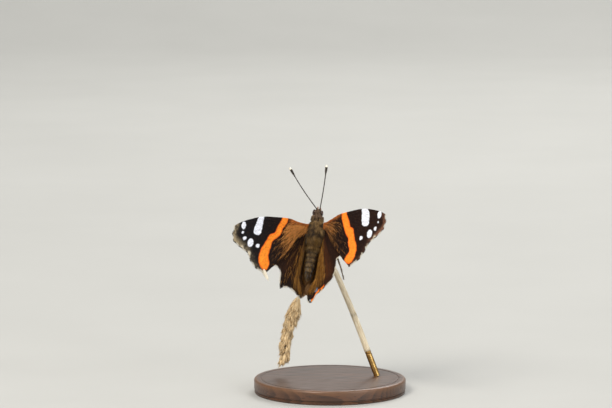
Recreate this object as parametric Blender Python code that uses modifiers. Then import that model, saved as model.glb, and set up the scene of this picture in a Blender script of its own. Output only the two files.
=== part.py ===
"""Red admiral butterfly, life size, resting on a nodding grass stem above a small display base.

Metres, +Z up, origin at the centre of the base's underside. The butterfly clings head up with
its back towards -Y. Its own frames have x to its right, y towards its belly and z to its head.
"""

import math

import bmesh
import bpy
from mathutils import Euler, Matrix, Vector
from mathutils.geometry import delaunay_2d_cdt

MM = 0.001
CLEARANCE = 0.30 * MM

# Pose of the animal: the middle of its thorax, the turn of its body and the lean of its trunk.
THORAX_PLACE = Vector((-3.9, -4.5, 45.85)) * MM
BODY_TURN = Euler((math.radians(-9.2), math.radians(12.2), math.radians(-5.1)))
TRUNK_LEAN = math.radians(-3.0)

# Trunk and head, in the trunk's frame.
THORAX_LENGTH = 7.6 * MM
THORAX_WIDTH = 4.5 * MM
THORAX_DEPTH = 5.0 * MM
THORAX_FRONT = Vector((0.0, 0.0, 3.35)) * MM
ABDOMEN_LENGTH = 9.7 * MM
ABDOMEN_WIDTH = 2.8 * MM
ABDOMEN_DEPTH = 3.1 * MM
ABDOMEN_FRONT = Vector((0.0, 0.25, -4.55)) * MM
ABDOMEN_RINGS = 7
ABDOMEN_GROOVE = 0.05
HEAD_MIDDLE = Vector((-0.30, 0.45, 4.75)) * MM
HEAD_RADII = Vector((1.25, 1.15, 1.00)) * MM
EYE_OFFSET = Vector((1.00, 0.05, 0.05)) * MM
EYE_RADII = Vector((0.50, 0.85, 0.86)) * MM
PALP_WAY = ((0.38, 1.74, 0.10), (0.44, 1.76, 0.55), (0.42, 1.62, 1.10), (0.30, 1.25, 1.65))
PALP_RADII = (0.30 * MM, 0.36 * MM, 0.32 * MM, 0.14 * MM)

# Antennae: the root on the head and the way to the tip, with a slight bow and a clubbed end.
ANTENNA_ROOT = {"left": Vector((-0.42, -0.98, 1.08)) * MM, "right": Vector((0.42, -0.98, 1.08)) * MM}
ANTENNA_REACH = {"left": Vector((-9.1, -2.6, 9.9)) * MM, "right": Vector((0.0, -4.4, 12.3)) * MM}
ANTENNA_BOW = {"left": 0.35 * MM, "right": 0.15 * MM}
ANTENNA_RADIUS = 0.25 * MM
ANTENNA_POINTS = 13
CLUB_RADIUS = 0.46 * MM
CLUB_START = 0.74

# Wings: membrane and ridged veins, and how each wing lies, with angles in degrees.
MEMBRANE = 0.50 * MM
VEIN_RIDGE = 0.82 * MM
VEIN_HALF_WIDTH = 0.36
VEIN_STEP = 2.1
FILL_STEP = 3.2
EDGE_GAP = 0.45
SCALLOP = 0.28
FOREWING_HINGE = {"left": Vector((-2.22, -1.0, 0.93)) * MM, "right": Vector((1.32, -1.0, 2.00)) * MM}
FOREWING_DIHEDRAL = {"left": 52.4, "right": 53.8}
FOREWING_SWEEP = {"left": -8.6, "right": 12.3}
FOREWING_ROOT = {"left": 0.95, "right": 2.35}
FOREWING_SPAN = 31.0
FOREWING_CAMBER = 0.35
HINDWING_HINGE = {"left": Vector((-2.75, -0.30, -1.6)) * MM, "right": Vector((2.55, -0.30, -1.1)) * MM}
HINDWING_DIHEDRAL = {"left": (51.5, 80.0), "right": (52.5, 80.0)}
HINDWING_RISE_FROM = {"left": 44.0, "right": 26.0}
HINDWING_ROOT = 0.7
HINDWING_CLOSING = 1.5
CLOSING_FROM = (10.5, 16.5)
CLOSING_TURN = (72.0, 92.0)
SIDES = {"left": -1.0, "right": 1.0}

# Forewing in its own plane, in millimetres: out from the hinge, and back from the front edge.
COSTA = ((4.6, -1.05), (8.4, -2.0), (14.0, -2.4), (20.0, -2.5), (26.5, -1.35))
FOREWING_MARGIN = ((30.3, 0.0), (31.0, 2.0), (30.1, 4.4), (27.2, 6.1), (24.3, 7.5),
                   (22.6, 9.8), (20.2, 11.9), (15.9, 13.6))
INNER_MARGIN = ((11.3, 10.4), (6.4, 6.2), (3.2, 2.9))
FOREWING_VEINS = (
    ((1.4, -0.20), (15.5, -2.1), 0.25),
    ((1.4, 0.0), (13.5, -0.8), 0.10),
    ((9.5, -0.7), (21.0, -2.2), 0.10),
    ((13.5, -0.8), (27.0, -0.95), 0.20),
    ((13.5, -0.8), (31.0, 2.0), 0.55),
    ((13.6, -0.2), (30.1, 4.4), 0.40),
    ((13.7, 0.7), (27.2, 6.1), 0.20),
    ((13.3, 1.9), (24.3, 7.5), 0.0),
    ((1.4, 0.25), (13.3, 1.9), -0.20),
    ((11.0, 1.55), (22.6, 9.8), -0.20),
    ((6.8, 1.05), (20.2, 11.9), -0.50),
    ((1.4, 0.45), (15.9, 13.6), -0.80),
)

# Hindwing margin, worn as it is: azimuth in degrees and reach from the hinge in millimetres.
HINDWING_REACH = {
    "left": ((6, 15.5), (14, 16.8), (26, 17.2), (36, 16.2), (44, 14.2), (52, 14.0), (57, 16.1),
             (62, 18.0), (66, 16.8), (72, 16.0), (79, 16.2), (86, 17.2), (94, 17.8), (102, 17.7)),
    "right": ((6, 14.0), (14, 14.5), (21, 13.0), (27, 10.9), (33, 10.4), (39, 12.4), (45, 14.3),
              (52, 15.3), (60, 15.8), (66, 16.3), (76, 16.8), (81, 18.8), (87, 18.9), (99, 17.4)),
}
HINDWING_VEINS = (10, 22, 37, 50, 62, 73, 84, 94)

# Legs in the world, in millimetres: knee, ankle and foot, after a root in the trunk's frame.
LEG_RADII = (0.32 * MM, 0.28 * MM, 0.26 * MM, 0.25 * MM)
WALKING_LEGS = {
    "leg_mid_left": ((-0.9, 2.75, 0.0), (-7.6, 0.8, 42.0), (-6.6, 2.1, 38.9), (-5.05, 2.5, 36.45)),
    "leg_mid_right": ((0.9, 2.75, 0.0), (1.7, 0.6, 42.0), (0.9, 2.0, 38.6), (0.10, 2.5, 36.50)),
    "leg_hind_left": ((-0.8, 2.65, -2.0), (-8.4, 0.9, 38.6), (-9.1, 2.0, 34.6), (-8.90, 2.5, 31.0)),
    "leg_hind_right": ((0.8, 2.65, -2.0), (1.7, 0.7, 38.4), (3.1, 1.7, 34.3), (3.80, 2.5, 31.2)),
}
FORELEG_WAY = ((0.62, 2.62, 1.3), (0.75, 3.3, 2.0), (0.62, 3.2, 3.6))

# Grass at one depth behind the animal, in millimetres: across, and up.
STEM_DEPTH = 2.5
STEM_RISE = ((10.45, 11.1), (6.85, 20.6), (2.55, 31.0), (0.9, 34.2), (-0.9, 35.75), (-2.5, 36.0))
STEM_DROP = ((-2.85, 36.0), (-4.4, 35.7), (-6.4, 33.8), (-7.6, 30.4), (-8.5, 26.6))
SEED_AXIS = ((-8.6, 26.2), (-10.1, 22.6), (-11.5, 16.6), (-12.3, 9.6))
RISE_RADII = (0.90 * MM, 0.62 * MM)
DROP_RADII = (0.60 * MM, 0.42 * MM)
SEED_AXIS_RADII = (0.45 * MM, 0.30 * MM)
SPIKELET_LENGTH = 5.6 * MM
SPIKELET_WIDTH = 2.1 * MM
SPIKELETS = 22
SPIKELET_LEAN = math.radians(23.0)
SPIKELET_TURN = math.radians(137.5)

# Display stand.
BASE_RADIUS = 21.0 * MM
BASE_HEIGHT = 4.0 * MM
BASE_EDGE = 0.6 * MM
ROD_RADIUS = 0.85 * MM


def finish(name, colour, roughness, metallic=0.0):
    """Make a plain Principled material."""
    made = bpy.data.materials.new(name)
    made.use_nodes = True
    shader = made.node_tree.nodes["Principled BSDF"]
    shader.inputs["Base Color"].default_value = (*colour, 1.0)
    shader.inputs["Roughness"].default_value = roughness
    shader.inputs["Metallic"].default_value = metallic
    return made


def add(name, data, material, parent=None, group=None):
    """Put a mesh or curve in the scene as a named object with one material."""
    made = bpy.data.objects.new(name, data)
    (group or parts).objects.link(made)
    if material:
        data.materials.append(material)
    made.parent = parent
    return made


def mesh_from(bm, name):
    """Write a bmesh out as a smooth-shaded mesh and free it."""
    bmesh.ops.recalc_face_normals(bm, faces=bm.faces)
    mesh = bpy.data.meshes.new(name)
    bm.to_mesh(mesh)
    bm.free()
    mesh.shade_smooth()
    return mesh


def smooth_way(points, samples=5):
    """Follow a smooth curve through all the points."""
    points = [Vector(point) for point in points]
    ends = [2 * points[0] - points[1]] + points + [2 * points[-1] - points[-2]]
    way = []
    for before, start, end, after in zip(ends, ends[1:], ends[2:], ends[3:]):
        for step in range(samples):
            t = step / samples
            bend = 2 * before - 5 * start + 4 * end - after
            twist = 3 * start - before - 3 * end + after
            way.append(start + 0.5 * (t * (end - before) + t * t * bend + t ** 3 * twist))
    return way + [points[-1]]


def blend(value, low, high):
    """Ease from 0 at low to 1 at high."""
    t = min(max((value - low) / (high - low), 0.0), 1.0)
    return t * t * (3.0 - 2.0 * t)


def tube(name, way, radii, material, parent=None, resolution=2):
    """Sweep a round section along a way, with a radius for each of its points."""
    curve = bpy.data.curves.new(name, "CURVE")
    curve.dimensions = "3D"
    curve.bevel_depth = max(radii)
    curve.bevel_resolution = resolution
    curve.use_fill_caps = True
    spline = curve.splines.new("POLY")
    spline.points.add(len(way) - 1)
    for point, place, radius in zip(spline.points, way, radii):
        point.co = (*place, 1.0)
        point.radius = radius / curve.bevel_depth
    return add(name, curve, material, parent)


def spread(ends, count):
    """Spread radii evenly from the first to the last."""
    return [ends[0] + (ends[1] - ends[0]) * index / (count - 1) for index in range(count)]


def ellipsoid(name, radii, middle, material, parent, segments=20, rings=14, group=None):
    """Make a closed ellipsoid about a point of its parent's frame."""
    bm = bmesh.new()
    bmesh.ops.create_uvsphere(bm, u_segments=segments, v_segments=rings, radius=1.0)
    bmesh.ops.scale(bm, vec=radii, verts=bm.verts)
    made = add(name, mesh_from(bm, name), material, parent, group)
    made.location = middle
    return made


def turned(name, profile, front, width, depth, material, parent, steps=24):
    """Turn a half outline, given from its front pole back, and flatten it from back to belly."""
    mesh = bpy.data.meshes.new(name)
    outline = [(radius * width / 2, 0.0, -along) for radius, along in profile]
    mesh.from_pydata(outline, [(i, i + 1) for i in range(len(outline) - 1)], [])
    made = add(name, mesh, material, parent)
    made.location = front
    made.scale.y = depth / width
    screw = made.modifiers.new("Turn", "SCREW")
    screw.steps = screw.render_steps = steps
    screw.use_merge_vertices = True
    screw.merge_threshold = 0.00001
    screw.use_smooth_shade = True
    return made


def thorax():
    """Blunt barrel of the thorax, widest at the wing roots."""
    count = 16
    profile = []
    for index in range(count + 1):
        angle = math.pi * index / count
        wide = math.sin(angle) ** 0.68 * (1.0 + 0.06 * math.cos(angle))
        profile.append((wide, THORAX_LENGTH * (1 - math.cos(angle)) / 2))
    turned("thorax", profile, THORAX_FRONT, THORAX_WIDTH, THORAX_DEPTH, fur, trunk)


def abdomen():
    """Tapered abdomen with a shallow groove between its rings."""
    count = 4 * ABDOMEN_RINGS
    profile = []
    for index in range(count + 1):
        t = index / count
        wide = min(1.0, (t / 0.12) ** 0.5) * (1.0 - 0.62 * t ** 3.0) * min(1.0, ((1 - t) / 0.10) ** 0.5)
        groove = ABDOMEN_GROOVE * (0.5 + 0.5 * math.cos(2 * math.pi * ABDOMEN_RINGS * t)) ** 3
        profile.append((wide * (1.0 - groove), ABDOMEN_LENGTH * t))
    turned("abdomen", profile, ABDOMEN_FRONT, ABDOMEN_WIDTH, ABDOMEN_DEPTH, fur, trunk, 20)


def head():
    """Head with a socket for each large eye, and the eyes in them."""
    skull = ellipsoid("head", HEAD_RADII, HEAD_MIDDLE, fur, trunk)
    for side, sign in SIDES.items():
        place = HEAD_MIDDLE + Vector((sign * EYE_OFFSET.x, EYE_OFFSET.y, EYE_OFFSET.z))
        ellipsoid("eye_" + side, EYE_RADII, place, eye_brown, trunk, 16, 12)
        room = Vector((CLEARANCE, CLEARANCE, CLEARANCE))
        socket = ellipsoid("socket_" + side, EYE_RADII + room, place, None, trunk, 16, 12, cutters)
        socket.hide_render = True
        socket.display_type = "WIRE"
        cut = skull.modifiers.new("Eye socket " + side, "BOOLEAN")
        cut.object = socket


def feelers():
    """Clubbed antennae and the short palps in front of the face."""
    for side, sign in SIDES.items():
        root = HEAD_MIDDLE + ANTENNA_ROOT[side]
        reach = ANTENNA_REACH[side]
        outward = Vector((sign, 0.0, 0.0)) * ANTENNA_BOW[side]
        way = []
        radii = []
        for index in range(ANTENNA_POINTS):
            t = index / (ANTENNA_POINTS - 1)
            way.append(root + reach * t + outward * math.sin(math.pi * t))
            swell = blend(t, CLUB_START, 0.90) * (1.0 - 0.45 * blend(t, 0.96, 1.0))
            radii.append(ANTENNA_RADIUS + (CLUB_RADIUS - ANTENNA_RADIUS) * swell)
        tube("antenna_" + side, way, radii, black, trunk)
        way = [HEAD_MIDDLE + Vector((sign * x, y, z)) * MM for x, y, z in PALP_WAY]
        tube("palp_" + side, way, PALP_RADII, fur, trunk)


def legs():
    """Four walking legs down to the grass and the folded brush-like forelegs."""
    to_world = body.matrix_basis @ trunk.matrix_basis
    for name, (root, *joints) in WALKING_LEGS.items():
        way = [to_world @ (Vector(root) * MM)] + [Vector(joint) * MM for joint in joints]
        tube(name, way, LEG_RADII, black)
    for side, sign in SIDES.items():
        way = [Vector((sign * x, y, z)) * MM for x, y, z in FORELEG_WAY]
        tube("leg_fore_" + side, way, LEG_RADII[1:], black, trunk)


def inside(point, outline):
    """Tell whether a flat point lies inside a closed outline."""
    within = False
    for a, b in zip(outline, outline[1:] + outline[:1]):
        if (a.y > point.y) != (b.y > point.y):
            if point.x < a.x + (point.y - a.y) * (b.x - a.x) / (b.y - a.y):
                within = not within
    return within


def line_distance(point, start, end):
    """Measure from a flat point to a straight piece of line."""
    along = end - start
    t = min(max((point - start).dot(along) / along.length_squared, 0.0), 1.0)
    return (point - start - along * t).length


def vein_lines(veins):
    """Follow each vein as a bowed line of evenly spaced flat points."""
    lines = []
    for start, end, bow in veins:
        start, end = Vector(start), Vector(end)
        across = Vector((end.y - start.y, start.x - end.x)).normalized()
        count = max(3, round((end - start).length / VEIN_STEP))
        line = []
        for index in range(count + 1):
            t = index / count
            line.append(start.lerp(end, t) - across * bow * math.sin(math.pi * t))
        lines.append(line)
    return lines


def wing(name, outline, veins, place, material, parent):
    """Make one wing: a flat plan with ridged veins, triangulated, laid in space and thickened."""
    lines = vein_lines(veins)
    wanted = []
    for line in lines:
        for index, point in enumerate(line):
            ahead = (line[min(index + 1, len(line) - 1)] - line[max(index - 1, 0)]).normalized()
            across = Vector((-ahead.y, ahead.x)) * VEIN_HALF_WIDTH
            wanted += [point, point + across, point - across]
    left, right = min(p.x for p in outline), max(p.x for p in outline)
    low, high = min(p.y for p in outline), max(p.y for p in outline)
    for column in range(int((right - left) / FILL_STEP)):
        for row in range(int((high - low) / FILL_STEP)):
            wanted.append(Vector((left + FILL_STEP * (column + 0.5), low + FILL_STEP * (row + 0.5))))
    kept = []
    edges = list(zip(outline, outline[1:] + outline[:1]))
    for point in wanted:
        near = min(line_distance(point, a, b) for a, b in edges)
        crowd = min(((point - other).length for other in kept), default=1.0)
        if inside(point, outline) and near > EDGE_GAP and crowd > 0.8 * VEIN_HALF_WIDTH:
            kept.append(point)
    plan = delaunay_2d_cdt(outline + kept, [], [list(range(len(outline)))], 1, 1e-6)
    mesh = bpy.data.meshes.new(name)
    mesh.from_pydata([place(point.x, point.y) for point in plan[0]], [], plan[2])
    mesh.shade_smooth()
    made = add(name, mesh, material, parent)
    ridge = made.vertex_groups.new(name="Veins")
    for index, point in enumerate(plan[0]):
        near = min(line_distance(point, a, b) for line in lines for a, b in zip(line, line[1:]))
        ridge.add([index], max(0.0, 1.0 - near / (0.8 * VEIN_HALF_WIDTH)), "REPLACE")
    thick = made.modifiers.new("Membrane", "SOLIDIFY")
    thick.thickness = VEIN_RIDGE
    thick.offset = 0.0
    thick.vertex_group = ridge.name
    thick.thickness_vertex_group = MEMBRANE / VEIN_RIDGE
    return made


def scalloped(ends, depth):
    """Join margin points with a shallow inward bay between each two."""
    ends = [Vector(end) for end in ends]
    middle = sum(ends, Vector((0.0, 0.0))) / len(ends)
    line = [ends[0]]
    for start, end in zip(ends, ends[1:]):
        inward = (Vector((6.0, 2.0)) - (start + end) / 2).normalized()
        line += [start.lerp(end, 0.5) + inward * depth, end]
    return line


def forewings():
    """Both forewings in one plan, each in a plane of its own dihedral and sweep."""
    for side, sign in SIDES.items():
        root = FOREWING_ROOT[side]
        front = smooth_way([(root, -0.45)] + list(COSTA) + [FOREWING_MARGIN[0]], 3)[:-1]
        rear = smooth_way([FOREWING_MARGIN[-1]] + list(INNER_MARGIN) + [(root, 0.75)], 3)[1:]
        outline = front + scalloped(FOREWING_MARGIN, SCALLOP) + rear
        tilt = math.radians(FOREWING_DIHEDRAL[side])
        sweep = math.radians(FOREWING_SWEEP[side])
        across = Vector((sign * math.cos(tilt), -math.sin(tilt), 0.0))
        dorsal = Vector((-sign * math.sin(tilt), -math.cos(tilt), 0.0))
        ahead = Vector((0.0, 0.0, 1.0))
        out = math.cos(sweep) * across + math.sin(sweep) * ahead
        back = math.sin(sweep) * across - math.cos(sweep) * ahead

        def place(u, v, out=out, back=back, dorsal=dorsal, hinge=FOREWING_HINGE[side]):
            rise = FOREWING_CAMBER * math.sin(math.pi * min(max(u / FOREWING_SPAN, 0.0), 1.0))
            return hinge + (out * u + back * v + dorsal * rise) * MM

        wing("forewing_" + side, outline, FOREWING_VEINS, place, dark_wing, body)


def hindwings():
    """Both hindwings, fanned from the hinge and rising towards the abdomen to a steep trough."""
    for side, sign in SIDES.items():
        keys = [Vector(key) for key in HINDWING_REACH[side]]
        rim = []
        for azimuth, reach in smooth_way(keys, 3):
            turn = math.radians(azimuth)
            rim.append(Vector((reach * math.cos(turn), reach * math.sin(turn))))
        last = rim[-1].normalized()
        inner = [last * reach for reach in (13.5, 9.0, 5.0, 2.4)]
        front = [Vector((11.0, 0.6)), Vector((6.0, 0.1)), Vector((2.6, -0.25))]
        root = [Vector((-0.15, HINDWING_ROOT)), Vector((HINDWING_ROOT, -0.3))]
        outline = rim + inner + root + front[::-1]
        veins = []
        for azimuth in HINDWING_VEINS:
            turn = math.radians(azimuth)
            reach = next(r for a, r in smooth_way(keys, 12) if a >= azimuth)
            aim = Vector((math.cos(turn), math.sin(turn)))
            veins.append((aim * 1.6, aim * (reach - 0.3), 0.3 * math.cos(turn)))
        low, high = HINDWING_DIHEDRAL[side]
        start = HINDWING_RISE_FROM[side]

        def place(u, v, sign=sign, low=low, high=high, start=start, hinge=HINDWING_HINGE[side]):
            azimuth = math.degrees(math.atan2(v, u))
            share = min(max((azimuth - start) / (90.0 - start), 0.0), 1.0)
            tilt = math.radians(low + (high - low) * share)
            closing = HINDWING_CLOSING * blend(math.hypot(u, v), *CLOSING_FROM)
            closing *= blend(azimuth, *CLOSING_TURN)
            across = u * math.cos(tilt) - closing
            return hinge + Vector((sign * across, -u * math.sin(tilt), -v)) * MM

        wing("hindwing_" + side, outline, veins, place, dark_wing, trunk)


def grass():
    """Dry stem rising to a bend, its drooping end and the nodding seed head."""
    for name, route, ends in (("perch_stem", STEM_RISE, RISE_RADII), ("perch_neck", STEM_DROP, DROP_RADII)):
        way = [Vector((x, STEM_DEPTH, z)) * MM for x, z in smooth_way(route, 4)]
        tube(name, way, spread(ends, len(way)), straw)
    way = [Vector((x, STEM_DEPTH, z)) * MM for x, z in smooth_way(SEED_AXIS, 6)]
    axis = tube("seed_axis", way, spread(SEED_AXIS_RADII, len(way)), straw)
    seed_head = solid_copy(axis, "perch_seed_head")
    spikelets = bpy.data.collections.new("Spikelets")
    for index in range(SPIKELETS):
        t = (index + 0.6) / (SPIKELETS + 1.2)
        spikelet(index, way, t, spikelets)
    fuse(seed_head, spikelets)


def spikelet(index, way, t, group):
    """Hang one pointed spikelet from the seed head's axis, its root sunk in the axis."""
    place = way[round(t * (len(way) - 1))]
    ahead = (way[-1] - way[0]).normalized()
    turn = Matrix.Rotation(index * SPIKELET_TURN, 3, ahead)
    side = turn @ ahead.orthogonal().normalized()
    lean = SPIKELET_LEAN * (1.0 - 0.45 * t)
    aim = ahead * math.cos(lean) + side * math.sin(lean)
    bm = bmesh.new()
    bmesh.ops.create_uvsphere(bm, u_segments=8, v_segments=6, radius=0.5)
    for vert in bm.verts:
        taper = 1.0 - 0.55 * blend(vert.co.z, -0.1, 0.5)
        vert.co.x *= SPIKELET_WIDTH * taper
        vert.co.y *= 0.6 * SPIKELET_WIDTH * taper
        vert.co.z = (vert.co.z + 0.44) * SPIKELET_LENGTH * (1.0 - 0.2 * t)
    flat = aim.cross(side).normalized()
    frame = Matrix((flat, aim.cross(flat).normalized(), aim)).transposed()
    made = add("spikelet_%02d" % index, mesh_from(bm, "spikelet"), None, None, group)
    made.matrix_basis = Matrix.Translation(place) @ frame.to_4x4()


def solid_copy(source, name):
    """Turn a curve object into a closed mesh object under a new name."""
    bpy.context.view_layer.update()
    graph = bpy.context.evaluated_depsgraph_get()
    mesh = bpy.data.meshes.new_from_object(source.evaluated_get(graph))
    bm = bmesh.new()
    bm.from_mesh(mesh)
    bmesh.ops.remove_doubles(bm, verts=bm.verts, dist=0.000001)
    made = add(name, mesh_from(bm, name), source.data.materials[0])
    made.matrix_world = source.matrix_world
    bpy.data.objects.remove(source)
    return made


def fuse(target, group):
    """Join a collection of closed pieces to the target and keep its largest closed surface."""
    bpy.context.scene.collection.children.link(group)
    union = target.modifiers.new("Union", "BOOLEAN")
    union.operation = "UNION"
    union.operand_type = "COLLECTION"
    union.collection = group
    bpy.context.view_layer.update()
    graph = bpy.context.evaluated_depsgraph_get()
    mesh = bpy.data.meshes.new_from_object(target.evaluated_get(graph))
    target.modifiers.clear()
    bm = bmesh.new()
    bm.from_mesh(mesh)
    bmesh.ops.dissolve_degenerate(bm, dist=0.000002, edges=bm.edges)
    shells = connected(bm)
    keep = max(shells, key=len)
    scrap = [vert for shell in shells if shell is not keep for vert in shell]
    bmesh.ops.delete(bm, geom=scrap, context="VERTS")
    bmesh.ops.triangulate(bm, faces=bm.faces)
    target.data = mesh_from(bm, target.name)
    target.data.materials.append(straw)
    for piece in list(group.objects):
        bpy.data.objects.remove(piece)
    bpy.data.collections.remove(group)


def connected(bm):
    """Group a mesh's vertices by the surface that they belong to."""
    left = set(bm.verts)
    shells = []
    while left:
        reached = [left.pop()]
        shell = []
        while reached:
            vert = reached.pop()
            shell.append(vert)
            for edge in vert.link_edges:
                other = edge.other_vert(vert)
                if other in left:
                    left.remove(other)
                    reached.append(other)
        shells.append(shell)
    return shells


def stand():
    """Round base with a softened edge and a slanting rod in line with the stem's cut end."""
    bm = bmesh.new()
    bmesh.ops.create_cone(bm, cap_ends=True, segments=64, radius1=BASE_RADIUS, radius2=BASE_RADIUS,
                          depth=BASE_HEIGHT)
    base = add("stand_base", mesh_from(bm, "stand_base"), wood)
    base.location.z = BASE_HEIGHT / 2
    edge = base.modifiers.new("Edge", "BEVEL")
    edge.width = BASE_EDGE
    edge.segments = 2
    edge.limit_method = "ANGLE"
    base.data.set_sharp_from_angle(angle=math.radians(40.0))
    cut, above = (Vector((x, STEM_DEPTH, z)) * MM for x, z in STEM_RISE[:2])
    along = (cut - above).normalized()
    top = cut + along * CLEARANCE
    foot_level = BASE_HEIGHT + CLEARANCE
    foot = top + along * ((top.z - foot_level) / -along.z)
    length = (foot - top).length
    bm = bmesh.new()
    bmesh.ops.create_cone(bm, cap_ends=True, segments=20, radius1=ROD_RADIUS, radius2=ROD_RADIUS, depth=length)
    turn = along.to_track_quat("-Z", "Y").to_matrix().to_4x4()
    bmesh.ops.transform(bm, matrix=Matrix.Translation((top + foot) / 2) @ turn, verts=bm.verts)
    for vert in bm.verts:
        if (vert.co - foot).length < (vert.co - top).length:
            vert.co += along * ((vert.co.z - foot_level) / -along.z)
    add("stand_rod", mesh_from(bm, "stand_rod"), brass)


for old in list(bpy.data.objects):
    bpy.data.objects.remove(old)
parts = bpy.data.collections.new("Red admiral")
cutters = bpy.data.collections.new("Cutters")
for group in (parts, cutters):
    bpy.context.scene.collection.children.link(group)
fur = finish("Olive brown hair", (0.20, 0.15, 0.08), 0.9)
dark_wing = finish("Dark wing", (0.05, 0.03, 0.02), 0.8)
black = finish("Black horn", (0.03, 0.02, 0.02), 0.5)
eye_brown = finish("Brown eye", (0.10, 0.06, 0.04), 0.3)
straw = finish("Dry straw", (0.75, 0.62, 0.42), 0.8)
wood = finish("Dark wood", (0.12, 0.07, 0.04), 0.5)
brass = finish("Aged brass", (0.60, 0.45, 0.22), 0.35, 1.0)
body = add("body_frame", None, None)
body.location = THORAX_PLACE
body.rotation_euler = BODY_TURN
trunk = add("trunk_frame", None, None, body)
trunk.rotation_euler.y = TRUNK_LEAN
bpy.context.view_layer.update()
thorax()
abdomen()
head()
feelers()
legs()
forewings()
hindwings()
grass()
stand()
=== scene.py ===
"""Looks of a life-size red admiral at rest on a nodding grass stem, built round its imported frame.

Shapes are worked out in millimetres in the animal's own frames, where x points to its right, y to
its belly and z to its head, and are written as meshes in metres in the frame that the CAD uses.
"""
import logging
from collections.abc import Callable, Sequence
from dataclasses import dataclass, field
from enum import Enum
from math import cos, pi, radians, sin
from typing import ClassVar, NamedTuple

import bmesh
import bpy
import numpy as np
from mathutils import Euler, Matrix, Vector
from mathutils.geometry import delaunay_2d_cdt


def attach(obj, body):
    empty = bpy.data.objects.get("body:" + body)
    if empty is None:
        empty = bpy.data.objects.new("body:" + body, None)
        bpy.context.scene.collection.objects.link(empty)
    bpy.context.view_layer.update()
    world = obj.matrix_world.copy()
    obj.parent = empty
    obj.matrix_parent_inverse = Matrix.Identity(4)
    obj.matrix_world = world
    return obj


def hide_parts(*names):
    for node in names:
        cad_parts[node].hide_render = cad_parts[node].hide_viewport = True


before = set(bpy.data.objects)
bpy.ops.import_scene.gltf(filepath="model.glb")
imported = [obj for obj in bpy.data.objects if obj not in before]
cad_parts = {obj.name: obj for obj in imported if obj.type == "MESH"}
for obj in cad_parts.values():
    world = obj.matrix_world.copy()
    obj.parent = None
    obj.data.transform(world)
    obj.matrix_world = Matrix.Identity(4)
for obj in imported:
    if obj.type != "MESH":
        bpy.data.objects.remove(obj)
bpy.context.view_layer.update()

log = logging.getLogger("red_admiral")

Array = np.ndarray
Material = bpy.types.Material
Mesh = bpy.types.Mesh
Object = bpy.types.Object
Socket = bpy.types.NodeSocket
Pair = tuple[float, float]
Triple = tuple[float, float, float]
Pairs = tuple[Pair, ...]
Triples = tuple[Triple, ...]
Colour = Triple

MM = 0.001
BAKE_MAP = "OFBake"
BAKE_PATCH = 0.003
BAKE_RIM = 0.02
BODY_PLACE = (-3.9, -4.5, 45.85)
BODY_TURNS = (-9.2, 12.2, -5.1)
TRUNK_TURN = -3.0
WORLD = Matrix.Identity(4)
BODY = Matrix.Translation(BODY_PLACE) @ Euler([radians(turn) for turn in BODY_TURNS]).to_matrix().to_4x4()
TRUNK = BODY @ Matrix.Rotation(radians(TRUNK_TURN), 4, "Y")
HEAD_MIDDLE = np.array((-0.30, 0.45, 4.75))
EYE_SHIFT = np.array((1.0, 0.05, 0.05))
STEM_DEPTH = 2.5
BASE_TOP = 4.0
ABSENT = 9.0


class Side(Enum):
    """The animal's own sides, with the sign of x on each."""

    LEFT = -1.0
    RIGHT = 1.0

    @property
    def word(self) -> str:
        """Name of the side as the frame's nodes spell it."""
        return self.name.lower()

    def mirrored(self, place: Sequence[float]) -> Array:
        """Put a place of the right side on this side."""
        return np.asarray(place, float) * (self.value, 1.0, 1.0)


class Slot(Enum):
    """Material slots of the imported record."""

    HAIR = "body_hair"
    EYE = "eye"
    ANTENNA = "antenna"
    LEG = "leg"
    WING = "wing"
    GRASS = "dry_grass"
    METAL = "stand_metal"
    WOOD = "stand_wood"


class Tuft(Enum):
    """Small shapes to plant: their sides, their tip's height and rise, and their rings.

    A ring has a height, a half width, a half depth and a rise of its middle.
    """

    HAIR = (3, (1.0, -0.10), ((0.0, 0.42, 0.42, 0.0), (0.34, 0.5, 0.5, 0.05), (0.70, 0.34, 0.34, 0.04)))
    BLADE = (4, (1.0, -0.02), ((0.0, 0.28, 0.3, 0.0), (0.45, 0.5, 0.5, 0.02), (0.85, 0.42, 0.4, 0.0)))
    SPINE = (4, (1.0, 0.02), ((0.0, 0.5, 0.5, 0.0), (0.5, 0.3, 0.3, 0.0)))
    HUSK = (6, (1.12, -0.03), ((0.0, 0.14, 0.20, 0.0), (0.15, 0.36, 0.42, 0.05), (0.42, 0.50, 0.50, 0.10),
                               (0.70, 0.36, 0.36, 0.07), (0.90, 0.13, 0.14, 0.02)))


def paint(red: float, green: float, blue: float) -> Colour:
    """Turn display values from 0 to 255 into the linear colour that a shader takes."""
    return tuple(((value / 255.0 + 0.055) / 1.055) ** 2.4 for value in (red, green, blue))


def blend(value: Array, low: float, high: float) -> Array:
    """Ease from 0 at low to 1 at high."""
    t = np.clip((np.asarray(value, float) - low) / (high - low), 0.0, 1.0)
    return t * t * (3.0 - 2.0 * t)


def unit(vectors: Array) -> Array:
    """Scale each vector to length one."""
    return vectors / np.maximum(np.linalg.norm(vectors, axis=-1, keepdims=True), 1e-12)


def flat_ray(azimuth: float) -> Array:
    """Give the flat direction at an angle in degrees."""
    return np.array((cos(radians(azimuth)), sin(radians(azimuth))))


def flat_ring(sides: int) -> Array:
    """Give the points of a flat round ring with a radius of one."""
    angles = 2.0 * pi * np.arange(sides) / sides
    return np.column_stack((np.cos(angles), np.sin(angles)))


def run(way: Array) -> Array:
    """Give the distance along a way at each of its points."""
    return np.concatenate(([0.0], np.cumsum(np.linalg.norm(np.diff(way, axis=0), axis=1))))


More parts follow.
